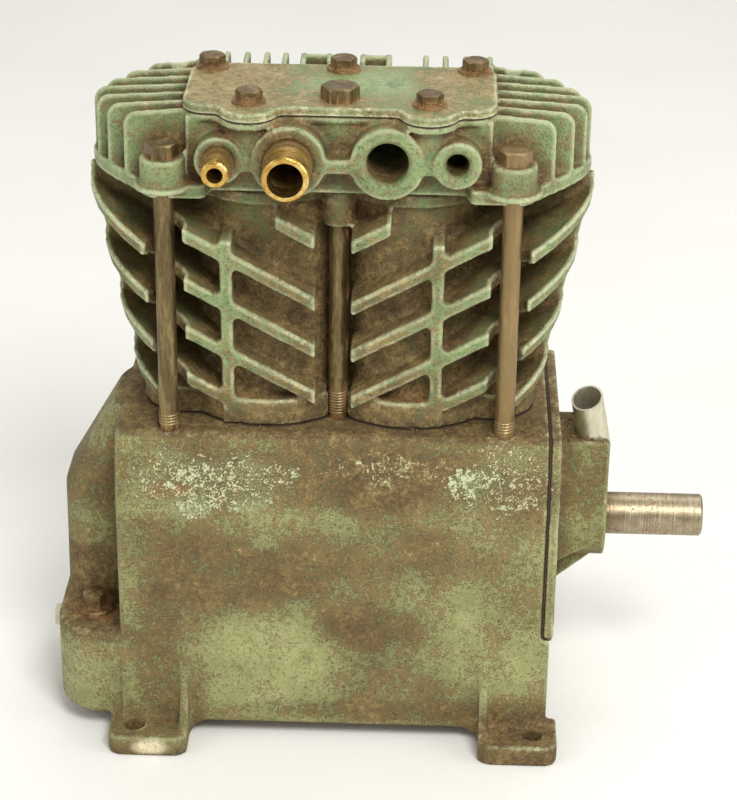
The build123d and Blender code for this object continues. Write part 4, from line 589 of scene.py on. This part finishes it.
def make_threads(node, places, height, material):
    """The threads that show above the deck, one for each bolt of the node."""
    for number, (x, y) in enumerate(places):
        name = node + "_thread_" + str(number + 1)
        mesh = thread_mesh(name, x, y, DECK_Z + THREAD_START, DECK_Z + height)
        thread = show(name, mesh)
        thread.data.materials.append(material)
        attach(thread, FIXED_BODY)


def thread_tie_bolts(material):
    """Threads on the four corner bolts and the two centre ones."""
    low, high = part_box("tie_bolts")
    corners = [(x, y) for x in (low.x + CORNER_HALF_CORNERS, high.x - CORNER_HALF_CORNERS)
               for y in (low.y + CORNER_HALF_FLATS, high.y - CORNER_HALF_FLATS)]
    make_threads("tie_bolts", corners, CORNER_THREAD_TOP, material)
    low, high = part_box("centre_tie_bolts")
    centres = [((low.x + high.x) / 2, y)
               for y in (low.y + CENTRE_HALF_FLATS, high.y - CENTRE_HALF_FLATS)]
    make_threads("centre_tie_bolts", centres, CENTRE_THREAD_TOP, material)


def grain_place(chance, index):
    """A random spot on the end housing's boss, the deck's drive end or beside the cylinders."""
    foot_low, foot_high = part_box("base_gasket")
    if index % 3 == 0:
        x = chance.uniform(BOSS_X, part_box("end_housing")[1].x - GRAIN_MARGIN)
        y = chance.uniform(*BOSS_Y)
        return x, y, BOSS_Z
    if index % 3 == 1:
        x = chance.uniform(DECK_END_X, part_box("end_housing_gasket")[0].x - GRAIN_MARGIN)
        y = chance.choice((-1, 1)) * chance.uniform(*DECK_END_Y)
    else:
        x = chance.uniform(foot_low.x, foot_high.x)
        y = chance.choice((-1, 1)) * chance.uniform(foot_high.y - GRAIN_MARGIN, DECK_END_Y[1])
    return x, y, DECK_Z


def add_grain(grains, chance, index):
    """One small lump with a random turn and shape."""
    x, y, z = grain_place(chance, index)
    radius = chance.uniform(*GRAIN_RADIUS)
    angle = chance.uniform(0, 6)
    axis = Vector((chance.random(), 1, 1)).normalized()
    shape = Matrix.Diagonal((1, chance.uniform(0.6, 1.4), chance.uniform(0.5, 1.0), 1))
    lift = Matrix.Translation((x, y, z + radius * GRAIN_LIFT))
    place = lift @ Matrix.Rotation(angle, 4, axis) @ shape
    bmesh.ops.create_icosphere(grains, subdivisions=1, radius=radius, matrix=place)


def make_crumbs():
    """Loose grains of dry dirt on the deck, the end housing's boss and round the bolts."""
    chance = random.Random(7)
    grains = bmesh.new()
    for index in range(GRAINS):
        add_grain(grains, chance, index)
    mesh = bpy.data.meshes.new("crumbs")
    grains.to_mesh(mesh)
    grains.free()
    crumbs = show("dirt_crumbs", mesh)
    g = Graph("dirt")
    fine = g.noise(0.0009)
    colour = g.shades(fine, SOILS[0], SOILS[1], DUST)
    crumbs.data.materials.append(g.finish(colour, 0.9, 0.0, (fine, 0.0003)))
    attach(crumbs, FIXED_BODY)


def make_lamp(name, place, aim, size, power):
    """A soft square lamp."""
    data = bpy.data.lights.new(name, "AREA")
    data.size = size
    data.energy = power
    lamp = show(name, data)
    turn = (Vector(place) - Vector(aim)).to_track_quat("Z", "Y").to_matrix().to_4x4()
    lamp.matrix_world = Matrix.Translation(place) @ turn


def make_floor():
    """A wide pale sheet under the pump."""
    corners = [(-FLOOR_HALF, -FLOOR_HALF, 0), (FLOOR_HALF, -FLOOR_HALF, 0),
               (FLOOR_HALF, FLOOR_HALF, 0), (-FLOOR_HALF, FLOOR_HALF, 0)]
    mesh = bpy.data.meshes.new("floor")
    mesh.from_pydata(corners, [], [(0, 1, 2, 3)])
    floor = show("floor", mesh)
    floor.location.z = FLOOR_Z
    g = Graph("floor")
    cloth = g.noise(0.0016, 2.0)
    colour = g.shades(g.noise(0.25, 2.0), (232, 231, 225), (237, 236, 230))
    floor.data.materials.append(g.finish(colour, 0.9, 0.0, (cloth, 0.0003)))


def make_world():
    """Even light from all round."""
    world = bpy.data.worlds.new("studio")
    bpy.context.scene.world = world
    world.use_nodes = True
    sky = world.node_tree.nodes["Background"]
    sky.inputs["Color"].default_value = SKY_COLOUR
    sky.inputs["Strength"].default_value = SKY_STRENGTH


def make_camera():
    """The viewpoint, turned about its own axis by the roll."""
    azimuth = math.radians(CAMERA_AZIMUTH)
    pitch = math.radians(CAMERA_PITCH)
    roll = math.radians(CAMERA_ROLL)
    back = Vector((math.sin(azimuth) * math.cos(pitch), -math.cos(azimuth) * math.cos(pitch),
                   math.sin(pitch)))
    right = Vector((math.cos(azimuth), math.sin(azimuth), 0.0))
    up = back.cross(right)
    turned_right = right * math.cos(roll) + up * math.sin(roll)
    turned_up = up * math.cos(roll) - right * math.sin(roll)
    data = bpy.data.cameras.new("camera")
    data.lens = LENS
    data.sensor_width = SENSOR
    data.clip_start, data.clip_end = CAMERA_CLIP
    camera = show("camera", data)
    turn = Matrix((turned_right, turned_up, back)).transposed().to_4x4()
    place = Vector(CAMERA_TARGET) + back * CAMERA_DISTANCE
    camera.matrix_world = Matrix.Translation(place) @ turn
    bpy.context.scene.camera = camera


slots = make_materials()
dress(slots)
thread_tie_bolts(slots["rod_steel"])
make_crumbs()
make_floor()
make_world()
make_camera()
for lamp in LAMPS:
    make_lamp(*lamp)
bpy.context.scene.view_settings.view_transform = "Standard"
